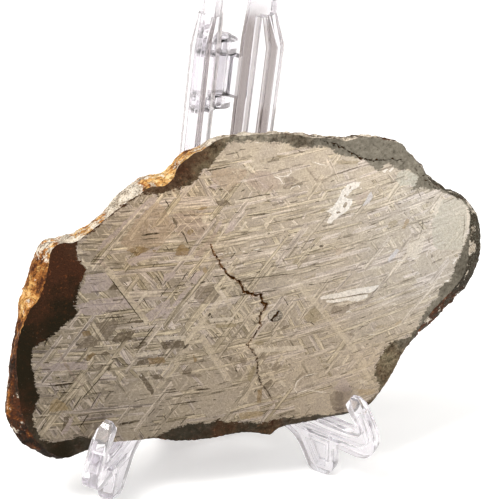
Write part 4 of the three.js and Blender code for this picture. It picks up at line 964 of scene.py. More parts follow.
def trace(start, strokes):
    """Counter-clockwise loop of points along the strokes, without the closing point."""
    loop = [np.array(start, float)]
    for stroke in strokes:
        p = [loop[-1]] + [np.array(stroke[k : k + 2], float) for k in range(0, len(stroke), 2)]
        length = sum(np.linalg.norm(b - a) for a, b in zip(p, p[1:]))
        spacing = CURVE_SPACING if len(p) > 2 else LINE_SPACING
        steps = max(1, math.ceil(length / spacing))
        for k in range(1, steps + 1):
            t = k / steps
            row = p
            while len(row) > 1:
                row = [a + (b - a) * t for a, b in zip(row, row[1:])]
            loop.append(row[0])
    if np.linalg.norm(loop[-1] - loop[0]) < 1e-6:
        loop.pop()
    return np.array(loop)


def inset(loop, amount):
    """Loop moved inwards by an amount, corners kept."""
    before = loop - np.roll(loop, 1, axis=0)
    after = np.roll(loop, -1, axis=0) - loop
    before /= np.linalg.norm(before, axis=1, keepdims=True)
    after /= np.linalg.norm(after, axis=1, keepdims=True)
    left = np.stack([-before[:, 1], before[:, 0]], axis=1)
    right = np.stack([-after[:, 1], after[:, 0]], axis=1)
    middle = left + right
    middle /= np.linalg.norm(middle, axis=1, keepdims=True)
    stretch = np.clip(1 / np.maximum((middle * left).sum(axis=1), 0.35), 1, 2)
    return loop + middle * (amount * stretch)[:, None]


def round_steps(amount, count=4):
    """Inset and drop of the steps round a quarter-circle edge, from the side wall to the face."""
    turns = [math.pi / 2 * k / count for k in range(count + 1)]
    return [(amount * (1 - math.cos(turn)), amount * (1 - math.sin(turn))) for turn in turns]


def fill_between(outer, holes):
    """Triangles between an outer loop and holes: points, triangles and where each point came from."""
    found, faces, origin = triangulate([outer, *holes])
    centres = np.array(found)[np.array(faces)].mean(axis=1)
    solid = np.ones(len(faces), bool)
    for hole in holes:
        solid &= ~inside_loop(centres, hole)
    return found, [face for face, keep in zip(faces, solid) if keep], origin


def tip_slope(u, y, z):
    """Sideways place of a point once the corners of the hook's tip are cut off on a slant."""
    if z <= TIP_FOOT or u < TIP_BACK:
        return y
    limit = FRAME_THICKNESS / 2 - TIP_CUT * (z - TIP_FOOT) / (TIP_TOP - TIP_FOOT)
    return max(min(y, limit), -limit)


class Shell:
    """Closed skin put together from loops at given heights and flat fillings between them."""

    def __init__(self):
        self.verts = []
        self.faces = []

    def loop(self, points, height):
        start = len(self.verts)
        self.verts += [(u, height, z) for u, z in points]
        return list(range(start, start + len(points)))

    def join(self, low, high, flip=False):
        count = len(low)
        for i in range(count):
            k = (i + 1) % count
            quad = (low[i], low[k], high[k], high[i])
            self.faces.append(quad[::-1] if flip else quad)

    def fill(self, outer, holes, height, flip=False):
        loops = [outer, *holes]
        flat = [np.array([(self.verts[k][0], self.verts[k][2]) for k in loop]) for loop in loops]
        found, triangles, origin = fill_between(flat[0], flat[1:])
        known = [k for loop in loops for k in loop]
        name = {}
        for i, source in enumerate(origin):
            if source and source[0] < len(known):
                name[i] = known[source[0]]
            else:
                name[i] = len(self.verts)
                self.verts.append((found[i][0], height, found[i][1]))
        for a, b, c in triangles:
            corners = (name[a], name[b], name[c])
            self.faces.append(corners[::-1] if flip else corners)


def plate_shell():
    """Side frame without its hinge: rounded outer edge, and hollows sunk in both faces."""
    shell = Shell()
    outline = trace(FRAME_START, FRAME_STROKES)
    hollows = [trace(start, strokes) for start, strokes in HOLLOWS]
    half = FRAME_THICKNESS / 2
    steps = round_steps(EDGE_ROUND)
    walls = {}
    for side in (1, -1):
        flip = side > 0
        rings = [shell.loop(inset(outline, shrink), side * (half - drop)) for shrink, drop in steps]
        walls[side] = rings[0]
        for low, high in zip(rings, rings[1:]):
            shell.join(low, high, flip)
        rims = []
        for hollow in hollows:
            down = [(HOLLOW_EDGE - shrink, drop) for shrink, drop in round_steps(HOLLOW_EDGE)]
            sunk = [shell.loop(inset(hollow, -grow), side * (half - drop)) for grow, drop in down[::-1]]
            floor = half - HOLLOW_DEPTH
            for shrink, rise in HOLLOW_FILLET:
                sunk.append(shell.loop(inset(hollow, shrink), side * (floor + rise)))
            for low, high in zip(sunk, sunk[1:]):
                shell.join(low, high, flip)
            shell.fill(sunk[-1], [], side * floor, flip)
            rims.append(sunk[0])
        shell.fill(rings[-1], rims, side * half, flip)
    shell.join(walls[-1], walls[1], True)
    verts = [(u, tip_slope(u, y, z), z) for u, y, z in shell.verts]
    return verts, shell.faces


def tube(radius, foot, height):
    """Closed upright cylinder round the hinge line."""
    mesh = bmesh.new()
    bmesh.ops.create_cone(
        mesh, cap_ends=True, segments=ROUND_SIDES, radius1=radius, radius2=radius, depth=height
    )
    bmesh.ops.translate(mesh, verts=mesh.verts, vec=(0, 0, foot + height / 2))
    return mesh


def block(low, high):
    """Closed box between two corners."""
    mesh = bmesh.new()
    bmesh.ops.create_cube(mesh, size=1)
    for vert in mesh.verts:
        vert.co = Vector([lo + (hi - lo) * (c + 0.5) for lo, hi, c in zip(low, high, vert.co)])
    return mesh


def helper(name, source):
    """Object for a short while, made from a mesh that is still being built."""
    mesh = bpy.data.meshes.new(name)
    source.to_mesh(mesh)
    source.free()
    item = bpy.data.objects.new(name, mesh)
    bpy.context.scene.collection.objects.link(item)
    return item


def combine(piece, other, operation):
    """Joins another closed mesh to the piece or cuts it out, and removes the other."""
    modifier = piece.modifiers.new(operation, "BOOLEAN")
    modifier.operation = operation
    modifier.solver = "EXACT"
    modifier.object = other
    bake_modifiers(piece)
    bpy.data.objects.remove(other)


def bake_modifiers(piece):
    ready = piece.evaluated_get(bpy.context.evaluated_depsgraph_get())
    mesh = bpy.data.meshes.new_from_object(ready)
    piece.modifiers.clear()
    old = piece.data
    piece.data = mesh
    bpy.data.meshes.remove(old)


def side_frame(name, knuckles, turn, material):
    """One clear side frame in place: the plate, and a knuckle at each given foot and height."""
    verts, faces = plate_shell()
    piece = new_piece(name, verts, faces, [])
    for foot, height in knuckles:
        combine(piece, helper("knuckle", tube(KNUCKLE_RADIUS, foot, height)), "UNION")
        half = FRAME_THICKNESS / 2 - EDGE_ROUND
        web = block((0.0, -half, foot), (LEG_BACK + WEB_BITE, half, foot + height))
        combine(piece, helper("web", web), "UNION")
    bore = tube(BORE_RADIUS, EAR_FOOT - BORE_SPARE, BORE_LENGTH)
    combine(piece, helper("bore", bore), "DIFFERENCE")
    piece.data.materials.clear()
    piece.data.materials.append(material)
    mark_rails(piece.data)
    place = Matrix.Translation((HINGE.x, HINGE.y, 0)) @ Matrix.Rotation(turn, 4, "Z")
    piece.data.transform(place @ Matrix.Scale(MM, 4))
    shade_by_angle(piece, FRAME_CREASE)
    return piece


def mark_rails(mesh):
    """Notes how far each point lies on the flat raised edges round the hollows."""
    half = FRAME_THICKNESS / 2
    rail = []
    for vert in mesh.vertices:
        forward, side, up = vert.co
        flat = smooth(half - EDGE_ROUND / 2, half, abs(side)) if forward >= LEG_BACK else 0.0
        rail.append(flat * smooth(*RAIL_FOOT, up) * smooth(*RAIL_TOP, up))
    add_values(mesh, "rail", rail)


def shade_by_angle(piece, limit):
    for polygon in piece.data.polygons:
        polygon.use_smooth = True
    piece.data.set_sharp_from_angle(angle=math.radians(limit))


def make_easel(settings):
    material = clear_plastic(settings)
    barrel_foot = EAR_FOOT + EAR_HEIGHT + RUNNING_GAP
    upper_ear = barrel_foot + BARREL_HEIGHT + RUNNING_GAP
    ears = [(EAR_FOOT, EAR_HEIGHT), (upper_ear, EAR_HEIGHT)]
    barrel = [(barrel_foot, BARREL_HEIGHT)]
    back = -math.pi / 2
    left = side_frame("easel_side_left", ears, back - OPEN_HALF_ANGLE, material)
    right = side_frame("easel_side_right", barrel, back + OPEN_HALF_ANGLE, material)
    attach(left, "stand_left")
    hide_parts("easel_frame_left")
    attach(right, "stand_right")
    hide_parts("easel_frame_right")


# Side of the hinge pin in mm: radius, height above the foot of the lower ear
PIN_PROFILE = [
    (1.3, 0), (1.6, 0.3), (1.6, 20.6), (1.7, 20.8), (2.6, 20.8), (2.8, 21), (2.8, 21.2), (2.6, 21.6),
    (1.9, 21.8),
]


def make_pin(settings):
    """Hinge pin turned from its profile, with a low domed head."""
    sides, rings = ROUND_SIDES, len(PIN_PROFILE)
    verts, faces = [], []
    for radius, up in PIN_PROFILE:
        for k in range(sides):
            turn = 2 * math.pi * k / sides
            verts.append((radius * math.cos(turn), radius * math.sin(turn), EAR_FOOT + up))
    for row in range(rings - 1):
        for k in range(sides):
            a, b = row * sides + k, row * sides + (k + 1) % sides
            faces.append((a, b, b + sides, a + sides))
    faces.append(tuple(range(sides))[::-1])
    faces.append(tuple(range((rings - 1) * sides, rings * sides)))
    piece = new_piece("hinge_pin_clear", verts, faces, [clear_plastic(settings)])
    piece.data.transform(Matrix.Translation((HINGE.x, HINGE.y, 0)) @ Matrix.Scale(MM, 4))
    shade_by_angle(piece, PIN_CREASE)
    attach(piece, "stand_left")
    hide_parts("hinge_pin")


# Material building


def put(tree, kind, values=None, **settings):
    """New node with its settings made and its sockets set or linked."""
    node = tree.nodes.new(kind)
    for name, setting in settings.items():
        setattr(node, name, setting)
    for key, value in (values or {}).items():
        socket = node.inputs[key]
        if isinstance(value, bpy.types.NodeSocket):
            tree.links.new(value, socket)
        else:
            socket.default_value = value
    return node


def calc(tree, operation, *terms, clamp=False):
    node = put(tree, "ShaderNodeMath", dict(enumerate(terms)), operation=operation, use_clamp=clamp)
    return node.outputs[0]


def plus(tree, a, b):
    return calc(tree, "ADD", a, b)


def times(tree, a, b):
    return calc(tree, "MULTIPLY", a, b)


def scaled(tree, value, factor, extra):
    """Value times a factor, with something extra added."""
    return calc(tree, "MULTIPLY_ADD", value, factor, extra)


def stirred(tree, value, cloud, amount):
    """Value pushed up and down by a soft random value round 0.5."""
    return scaled(tree, cloud, amount, plus(tree, value, -amount / 2))


def ramp(tree, value, low, high, start=0.0, end=1.0):
    """Value mapped smoothly from low..high to start..end."""
    node = put(
        tree,
        "ShaderNodeMapRange",
        {"Value": value, "From Min": low, "From Max": high, "To Min": start, "To Max": end},
        interpolation_type="SMOOTHSTEP",
    )
    return node.outputs["Result"]


def paint(tree, share, under, over, mode="MIX"):
    """Colour over another by a share from 0 to 1."""
    values = {0: share, 6: rgba(under), 7: rgba(over)}
    return put(tree, "ShaderNodeMix", values, data_type="RGBA", blend_type=mode).outputs[2]


def tinted(tree, colour, tint):
    """Colour multiplied by another."""
    return paint(tree, 1.0, colour, tint, "MULTIPLY")


def rgba(colour):
    if isinstance(colour, bpy.types.NodeSocket) or len(colour) == 4:
        return colour
    return (*colour, 1.0)


def mottle(tree, place, scale, detail=3.0, rough=0.55, dims="3D"):
    """Soft random value round 0.5."""
    values = {"Vector": place, "Scale": scale, "Detail": detail, "Roughness": rough}
    return put(tree, "ShaderNodeTexNoise", values, noise_dimensions=dims).outputs[0]


def three_parts(tree, place):
    return put(tree, "ShaderNodeSeparateXYZ", {0: place}).outputs


def vector_calc(tree, operation, a, b):
    node = put(tree, "ShaderNodeVectorMath", {0: a, 1: b}, operation=operation)
    return node.outputs["Value" if operation == "DOT_PRODUCT" else "Vector"]


def turned(tree, place, angle):
    """Place turned about the face's own middle: its parts along, across and into the depth."""
    values = {"Vector": place, "Angle": angle}
    node = put(tree, "ShaderNodeVectorRotate", values, rotation_type="Z_AXIS")
    return three_parts(tree, node.outputs[0])


def random_cells(tree, at):
    """Cells of random width along a value: three random numbers for each, and how near its end is."""
    values = {"W": at, "Scale": 1.0}
    kind = {"voronoi_dimensions": "1D"}
    cell = put(tree, "ShaderNodeTexVoronoi", values, **kind)
    end = put(tree, "ShaderNodeTexVoronoi", values, **kind, feature="DISTANCE_TO_EDGE")
    tint = put(tree, "ShaderNodeSeparateColor", {0: cell.outputs["Color"]}).outputs
    return tint, end.outputs["Distance"]


def vertex_value(tree, name, output="Fac"):
    return put(tree, "ShaderNodeAttribute", attribute_name=name).outputs[output]


def new_group(name, inputs, outputs):
    """Shader node group with named sockets: the tree, its inputs by name, and its output node."""
    tree = bpy.data.node_groups.new(name, "ShaderNodeTree")
    for way, sockets in (("INPUT", inputs), ("OUTPUT", outputs)):
        for kind, labels in sockets.items():
            for label in labels:
                tree.interface.new_socket(label, in_out=way, socket_type="NodeSocket" + kind)
    entry = tree.nodes.new("NodeGroupInput")
    end = tree.nodes.new("NodeGroupOutput")
    return tree, entry.outputs, end.inputs


def use_group(tree, group, values):
    return put(tree, "ShaderNodeGroup", values, node_tree=group).outputs


def new_material(name):
    material = bpy.data.materials.new(name)
    material.use_nodes = True
    tree = material.node_tree
    shader = tree.nodes["Principled BSDF"]
    return material, tree, shader


def lamella_rows():
    """Group for one family of crystal lamellae: rows of random width along one direction, cut into
    random lengths with slanted ends."""
    tree, given, result = new_group(
        "lamella rows",
        {"Vector": ["Place"], "Float": ["Turn", "Width", "Length", "Slant", "Share", "Bow", "Seed"]},
        {"Float": ["Presence", "Tone", "Tilt", "Edge"]},
    )
    place, width, length = given["Place"], given["Width"], given["Length"]
    along, up, into = turned(tree, place, times(tree, given["Turn"], -1.0))
    across = scaled(tree, mottle(tree, place, 0.03, 1.0, dims="2D"), 2.5, up)
    run = plus(tree, along, BOW_START)
    bow = times(tree, times(tree, run, run), given["Bow"])
    across = calc(tree, "SUBTRACT", across, bow)
    across = scaled(tree, mottle(tree, place, 0.8, 2.0, dims="2D"), 0.35, across)
    across = scaled(tree, into, 0.7, across)
    row_at = plus(tree, calc(tree, "DIVIDE", across, width), given["Seed"])
    row, to_side = random_cells(tree, row_at)
    sheared = calc(tree, "DIVIDE", scaled(tree, across, given["Slant"], along), length)
    piece, to_end = random_cells(tree, plus(tree, sheared, times(tree, row[0], 91.7)))
    edge = calc(tree, "MINIMUM", times(tree, to_side, width), times(tree, to_end, length))
    tree.links.new(calc(tree, "LESS_THAN", piece[0], given["Share"]), result["Presence"])
    tree.links.new(piece[1], result["Tone"])
    tree.links.new(piece[2], result["Tilt"])
    tree.links.new(edge, result["Edge"])
    return tree


# Crust: its dark ground, stony ground where it is pale, painted shade in its pits and crevices, dark and
# light of the pale scale, and the shades of rust with where each sets in and where it rules
CRUST_GROUND = (0.012, 0.007, 0.004)
CRUST_STONE = (0.03, 0.022, 0.014), (0.12, 0.11, 0.08)
CRUST_PIT_SHADE = (0.04, 0.022, 0.012)
PALE_SCALE = (0.3, 0.24, 0.17), (0.68, 0.61, 0.51)
RUST_SHADES = [
    (0.0, 0.35, (0.065, 0.02, 0.007)), (0.35, 0.65, (0.27, 0.1, 0.024)),
    (0.65, 0.95, (0.56, 0.31, 0.1)), (0.95, 1.25, (0.72, 0.52, 0.27)),
]
STREAK_STRETCH = (0.3, 0.3, 1.0)


def rust_bloom():
    """Group for the crust: rust from dark to golden and pale scale, in streaks along the rim, with painted
    shade in pits and crevices.
    """
    tree, given, result = new_group(
        "rust bloom",
        {"Vector": ["Place", "Run"], "Float": ["Rusty", "Pale"]},
        {"Color": ["Colour"], "Float": ["Height"]},
    )
    drawn = vector_calc(tree, "MULTIPLY", given["Run"], STREAK_STRETCH)
    streak = mottle(tree, drawn, 0.7, 4.0, 0.65)
    flake = mottle(tree, offset_place(tree, drawn, 31.0), 0.9, 3.0, 0.6)
    grain = mottle(tree, given["Place"], 2.0, 3.0, 0.7)
    patch = mottle(tree, given["Place"], 0.3, 2.0, 0.5)
    value = given["Rusty"]
    for cloud, amount in ((streak, 2.2), (grain, 0.9), (patch, 0.8)):
        value = stirred(tree, value, cloud, amount)
    stone = paint(tree, ramp(tree, grain, 0.4, 0.6), *CRUST_STONE)
    colour = paint(tree, ramp(tree, given["Pale"], 0.05, 0.3), CRUST_GROUND, stone)
    for low, high, shade in RUST_SHADES:
        colour = paint(tree, ramp(tree, value, low, high), colour, shade)
    scale = stirred(tree, stirred(tree, given["Pale"], flake, 2.4), grain, 0.6)
    soft = scaled(tree, streak, 0.45, times(tree, grain, 0.55))
    white = paint(tree, ramp(tree, soft, 0.38, 0.62), *PALE_SCALE)
    colour = paint(tree, ramp(tree, scale, 0.4, 0.6), colour, white)
    # Painted shade: the pits and the fine crevices between the streaks are coloured dark brown, as the shade
    # that falls in them
    crevice_shade = band(tree, flake, 0.5, 0.03)
    pits = calc(tree, "MAXIMUM", ramp(tree, flake, 0.38, 0.3), times(tree, crevice_shade, 0.8))
    colour = paint(tree, times(tree, pits, 0.85), colour, CRUST_PIT_SHADE)
    height = scaled(tree, streak, 0.9, times(tree, grain, 0.35))
    height = scaled(tree, crevice_shade, -0.25, height)
    tree.links.new(colour, result["Colour"])
    tree.links.new(height, result["Height"])
    return tree


def shared_group(name):
    """The group of that name, built on first use."""
    makers = {"lamella rows": lamella_rows, "rust bloom": rust_bloom}
    return bpy.data.node_groups.get(name) or makers[name]()


# Etched face: small lamellae as shares of the width and length of the large ones, the direction of
# its fine streaks in degrees, tints of single lamellae, and its cool and its warm end
SMALL_SHARE = (0.36, 0.22)
STREAK_ANGLE = 4.0
LAMELLA_TINTS = (0.99, 0.975, 1.03), (1.02, 0.995, 0.92)
COOL_AND_WARM = (0.93, 0.995, 1.08), (0.99, 0.92, 0.82)

# Rust in and beside the cracks, greys of the inclusion from dark to its painted highlight, and its hem
CRACK_RUST = (0.045, 0.02, 0.006), (0.3, 0.13, 0.035)
CRACK_DEEP = (0.105, 0.044, 0.011)
NODULE_GREYS = (0.1, 0.08, 0.058), (0.4, 0.35, 0.285)
NODULE_HEM = (0.06, 0.048, 0.036)

# Matte zone: from black to brown, greys, what browns the greys, rust, pale flecks and pits
ZONE_DARKS = (0.0125, 0.0092, 0.0045), (0.04, 0.016, 0.008)
ZONE_GREYS = (0.16, 0.14, 0.105), (0.44, 0.4, 0.325)
ZONE_BROWNING = (1.0, 0.9, 0.68)
ZONE_RUST = (0.2, 0.062, 0.02)
ZONE_FLECK = (0.42, 0.36, 0.27)
ZONE_PIT = (0.012, 0.009, 0.006)


def face_figures(tree, place):
    """Layers of crossing lamellae: tone from 0 to 1 and a random tint of each lamella."""
    crossed, plain = vertex_value(tree, "crossed"), vertex_value(tree, "plain")
    rows = shared_group("lamella rows")
    cloud = mottle(tree, place, 0.16, 3.0, 0.55)
    dim = times(tree, crossed, calc(tree, "SUBTRACT", 1.0, plain))
    tone = scaled(tree, dim, -0.3, scaled(tree, cloud, 0.3, 0.45))
    for k, (angle, width, length, slant, _, share, bow) in enumerate(LAMELLAE):
        small = use_group(tree, rows, {
            "Place": place, "Turn": math.radians(angle), "Width": width * SMALL_SHARE[0],
            "Length": length * SMALL_SHARE[1], "Slant": slant, "Bow": bow, "Seed": 31.0 + 7 * k,
            "Share": times(tree, dim, 0.75 * share),
        })
        lit = scaled(tree, small["Tone"], 0.3, 0.46)
        tone = mix_value(tree, times(tree, small["Presence"], 0.8), tone, lit)
    tint = cloud
    for k, (angle, width, length, slant, few, many, bow) in enumerate(LAMELLAE):
        patchy = mottle(tree, offset_place(tree, place, 40.0 * k), 0.07, 1.0)
        share = mix_value(tree, crossed, few, many)
        share = plus(tree, share, ramp(tree, patchy, 0.35, 0.65, -0.14, 0.14))
        large = use_group(tree, rows, {
            "Place": place, "Turn": math.radians(angle), "Width": width, "Length": length,
            "Slant": slant, "Bow": bow, "Seed": 3.0 + 11 * k,
            "Share": times(tree, share, scaled(tree, plain, -0.9, 1.0)),
        })
        streak = mottle(tree, drawn_out(tree, place, angle, bow), 1.0, 3.0, 0.6)
        lit = stirred(tree, scaled(tree, large["Tone"], 0.26, 0.49), streak, 2.1)
        low, high = ramp(tree, large["Tilt"], 0.4, 0), ramp(tree, large["Tilt"], 0.45, 1)
        dark = times(tree, ramp(tree, large["Edge"], 0.16, 0.05), high)
        bright = times(tree, ramp(tree, large["Edge"], 0.2, 0.06), low)
        lit = scaled(tree, bright, 0.35, scaled(tree, dark, -0.6, lit))
        tone = mix_value(tree, large["Presence"], tone, lit)
        tint = mix_value(tree, large["Presence"], tint, large["Tilt"])
    return tone, tint


def drawn_out(tree, place, angle, bow=0.0):
    """Place turned into a direction and drawn out along it, for fine streaks."""
    along, across, into = turned(tree, place, -math.radians(angle))
    run = plus(tree, along, BOW_START)
    bent = scaled(tree, times(tree, run, run), -bow, across)
    values = {0: times(tree, along, 0.13), 1: times(tree, bent, 1.7), 2: into}
    return put(tree, "ShaderNodeCombineXYZ", values).outputs[0]


def grey_of(tree, value):
    return put(tree, "ShaderNodeCombineColor", {0: value, 1: value, 2: value}).outputs[0]


def face_colour(tree, place, fine, settings):
    """Colour of the etched figures and of the single grains, with painted light across the face, before the
    matte zone.
    """
    tone, tint = face_figures(tree, place)
    colour = paint(tree, tone, settings.field_colour[:], settings.lamella_colour[:])
    colour = tinted(tree, colour, paint(tree, tint, *LAMELLA_TINTS))
    uneven = mottle(tree, offset_place(tree, place, 60.0), 0.9, 4.0, 0.7)
    uneven = ramp(tree, uneven, 0.3, 0.6, 0.55, 1.1)
    cover = calc(tree, "MULTIPLY", vertex_value(tree, "grain_and_reflection_cover"), uneven, clamp=True)
    colour = paint(tree, cover, colour, vertex_value(tree, "grain_and_reflection_colour", "Vector"))

    contour = mottle(tree, offset_place(tree, place, 17.0), 0.13, 3.0, 0.6)
    where = times(tree, ramp(tree, vertex_value(tree, "plain"), 0.25, 0.6), 0.5)
    contour = times(tree, band(tree, contour, 0.5, 0.014), where)
    colour = paint(tree, contour, colour, GRAIN_LOOKS["bar"][0])
    specks = mottle(tree, drawn_out(tree, offset_place(tree, place, 5.0), STREAK_ANGLE), 1.3, 2.0, 0.6)
    specks = ramp(tree, specks, 0.66, 0.72)
    for angle, bow, share, seed in ((LEVEL, LEVEL_BOW, 0.045, 77.0), (RISING, 0.0, 0.025, 55.0)):
        slits = use_group(tree, shared_group("lamella rows"), {
            "Place": place, "Turn": math.radians(angle), "Width": 0.42, "Length": 3.4, "Slant": 0.5,
            "Bow": bow, "Share": share, "Seed": seed,
        })
        dashes = times(tree, slits["Presence"], slits["Tone"])
        specks = calc(tree, "MAXIMUM", specks, dashes)
    colour = paint(tree, times(tree, specks, 0.62), colour, GRAIN_LOOKS["slit"][0])

    across, up, _ = three_parts(tree, place)
    keen = ramp(tree, across, -50.0, 60.0, 1.65, 1.0)
    colour = paint(tree, 1.0, colour, FACE_MIDDLE, "DIVIDE")
    colour = put(tree, "ShaderNodeGamma", {0: colour, 1: keen}).outputs[0]
    colour = tinted(tree, colour, FACE_MIDDLE)
    # Painted light: the face is made darker towards the lower left and lighter towards the upper right, as
    # the light falls across it
    painted_light_gradient = scaled(tree, up, 0.0049, scaled(tree, across, 0.0037, 0.57))
    painted_light_gradient = calc(tree, "MINIMUM", calc(tree, "MAXIMUM", painted_light_gradient, 0.5), 1.2)
    colour = tinted(tree, colour, grey_of(tree, painted_light_gradient))
    colour = tinted(tree, colour, paint(tree, vertex_value(tree, "warm"), *COOL_AND_WARM))
    coarse = mottle(tree, offset_place(tree, place, 90.0), 1.3, 3.0, 0.7)
    grit = scaled(tree, fine, 1.2, scaled(tree, coarse, 0.9, -0.03))
    return tinted(tree, colour, grey_of(tree, grit)), tone


def etched_iron(settings):
    """Cut and etched face: figures and single grains, cracks, inclusion and matte zone."""
    material, tree, shader = new_material("etched iron")
    place = vertex_value(tree, "face_mm", "Vector")
    into = three_parts(tree, place)[2]
    fine = mottle(tree, place, 2.4, 4.0, 0.7)
    colour, tone = face_colour(tree, place, fine, settings)
    colour, nodule = add_nodule(tree, place, colour, fine)

    jag = mottle(tree, place, 0.5, 6.0, 0.8)
    teeth = mottle(tree, drawn_out(tree, place, STREAK_ANGLE), 1.0, 2.0, 0.6)
    edge = scaled(tree, jag, 4.6, plus(tree, vertex_value(tree, "zone"), -2.65))
    edge = scaled(tree, ramp(tree, teeth, 0.42, 0.58), 0.4, edge)
    zone = ramp(tree, edge, -0.05, 0.15)
    colour = paint(tree, zone, colour, zone_colour(tree, place, fine))

    crack = crack_stain(tree, place, fine)
    colour = paint(tree, crack, colour, paint(tree, fine, *CRACK_RUST))
    front = calc(tree, "LESS_THAN", into, SLICE_THICKNESS / 2)
    deep = times(tree, ramp(tree, into, 0.2, 0.6), front)
    colour = paint(tree, deep, colour, CRACK_DEEP)

    matte = calc(tree, "MAXIMUM", zone, calc(tree, "MAXIMUM", crack, deep))
    rough = scaled(tree, tone, 0.1, settings.face_roughness - 0.05)
    height = scaled(tree, fine, 0.4, times(tree, tone, 0.4))
    height = scaled(tree, times(tree, zone, jag), 2.5, height)
    height = scaled(tree, nodule, 0.1, height)
    bump = put(tree, "ShaderNodeBump", {"Strength": 0.4, "Distance": 0.08 * MM, "Height": height})
    tree.links.new(colour, shader.inputs["Base Color"])
    tree.links.new(scaled(tree, matte, -0.85, 0.85), shader.inputs["Metallic"])
    tree.links.new(scaled(tree, zone, 0.3, rough), shader.inputs["Roughness"])
    shader.inputs["Specular IOR Level"].default_value = 0.03
    tree.links.new(bump.outputs[0], shader.inputs["Normal"])
    return material


def mix_value(tree, share, under, over):
    """Value over another by a share from 0 to 1."""
    return put(tree, "ShaderNodeMix", {0: share, 2: under, 3: over}, data_type="FLOAT").outputs[0]


def band(tree, value, centre, half):
    """1 where a value is near a centre, falling to 0 half a width away."""
    off = calc(tree, "ABSOLUTE", calc(tree, "SUBTRACT", value, centre))
    return ramp(tree, off, half, 0.0)


def offset_place(tree, place, amount):
    return vector_calc(tree, "ADD", place, (amount, -0.7 * amount, 0.3 * amount))


def add_nodule(tree, place, colour, fine):
    """Grey inclusion, lighter at its upper left as a painted highlight, with a dark hem, on the front only.
    """
    offset = vector_calc(tree, "SUBTRACT", place, (NODULE.x, NODULE.y, 0))
    shrunk = vector_calc(tree, "MULTIPLY", offset, (1 / NODULE_HALF[0], 1 / NODULE_HALF[1], 0.4))
    away = put(tree, "ShaderNodeVectorMath", {0: shrunk}, operation="LENGTH").outputs["Value"]
    away = stirred(tree, away, fine, 0.3)
    body = ramp(tree, away, 1.02, 0.9)
    # Painted highlight: the inclusion is made lighter towards its upper left
    high = vector_calc(tree, "DOT_PRODUCT", shrunk, (-0.7, 0.7, 0))
    lit = scaled(tree, high, 0.3, scaled(tree, fine, 3.2, -1.6))
    grey = paint(tree, ramp(tree, lit, -0.6, 0.6), *NODULE_GREYS)
    hem = times(tree, band(tree, away, 0.92, 0.2), ramp(tree, fine, 0.42, 0.58, 1.0, 0.35))
    grey = paint(tree, hem, grey, NODULE_HEM)
    return paint(tree, body, colour, grey), body


def zone_colour(tree, place, fine):
    """Matte zone: from black-brown through brown to grey, speckled."""
    brown, light = vertex_value(tree, "zone_brown"), vertex_value(tree, "zone_light")
    lumps = mottle(tree, place, 0.9, 4.0, 0.7)
    warm = stirred(tree, brown, mottle(tree, place, 0.2, 4.0, 0.6), 1.6)
    dark = paint(tree, ramp(tree, warm, 0.1, 0.9), *ZONE_DARKS)
    grey = paint(tree, lumps, *ZONE_GREYS)
    grey = paint(tree, ramp(tree, brown, 0.2, 0.6), grey, ZONE_BROWNING, "MULTIPLY")
    wildest = scaled(tree, brown, -1.4, 4.2)
    wild = calc(tree, "MINIMUM", scaled(tree, brown, 5.0, 0.9), wildest)
    patches = mottle(tree, offset_place(tree, place, 40.0), 0.45, 3.0, 0.6)
    uneven = scaled(tree, patches, 1.2, plus(tree, lumps, -1.1))
    blotch = scaled(tree, uneven, wild, 1.0)
    shade = paint(tree, calc(tree, "MULTIPLY", blotch, light, clamp=True), dark, grey)
    most_rust = calc(tree, "MINIMUM", times(tree, brown, 0.6), 0.5)
    rust = times(tree, ramp(tree, lumps, 0.56, 0.68), most_rust)
    shade = paint(tree, rust, shade, ZONE_RUST)
    flecks = ramp(tree, mottle(tree, place, 1.9, 2.0, 0.6), 0.68, 0.76)
    flecks = times(tree, flecks, scaled(tree, light, 0.4, 0.2))
    shade = paint(tree, flecks, shade, ZONE_FLECK)
    pits = times(tree, ramp(tree, lumps, 0.4, 0.3), 0.7)
    shade = paint(tree, pits, shade, ZONE_PIT)
    grit = times(tree, wild, scaled(tree, fine, 0.65, -0.325))
    return tinted(tree, shade, grey_of(tree, plus(tree, grit, 1.0)))


def crack_stain(tree, place, fine):
    """Share of rust beside the main crack, on the front only."""
    gap = stirred(tree, vertex_value(tree, "crack_gap"), fine, 2.2)
    _, up, into = three_parts(tree, place)
    high = ramp(tree, up, 20.0, 46.0, 0.12, 0.9)
    front = calc(tree, "LESS_THAN", into, SLICE_THICKNESS / 2)
    return times(tree, times(tree, ramp(tree, gap, 0.42, 0.16), high), front)


def rusty_crust(settings):
    """Rough outer crust: dark, rusty or pale by place."""
    material, tree, shader = new_material("rusty crust")
    place = vertex_value(tree, "face_mm", "Vector")
    bloom = use_group(tree, shared_group("rust bloom"), {
        "Place": place, "Run": vertex_value(tree, "rim_mm", "Vector"),
        "Rusty": vertex_value(tree, "rusty"), "Pale": vertex_value(tree, "pale"),
    })
    tree.links.new(bloom["Colour"], shader.inputs["Base Color"])
    rough = scaled(tree, bloom["Height"], -0.3, settings.crust_roughness + 0.15)
    tree.links.new(rough, shader.inputs["Roughness"])
    shader.inputs["Metallic"].default_value = 0.0
    shader.inputs["Specular IOR Level"].default_value = 0.08
    bump = put(
        tree, "ShaderNodeBump", {"Strength": 0.9, "Distance": 0.6 * MM, "Height": bloom["Height"]}
    )
    tree.links.new(bump.outputs[0], shader.inputs["Normal"])
    return material


PLASTIC_NAME = "clear plastic"
PLASTIC_CLEAR = (1.0, 0.99, 1.0)
PLASTIC_MIST = (0.86, 0.8, 0.9, 1.0)


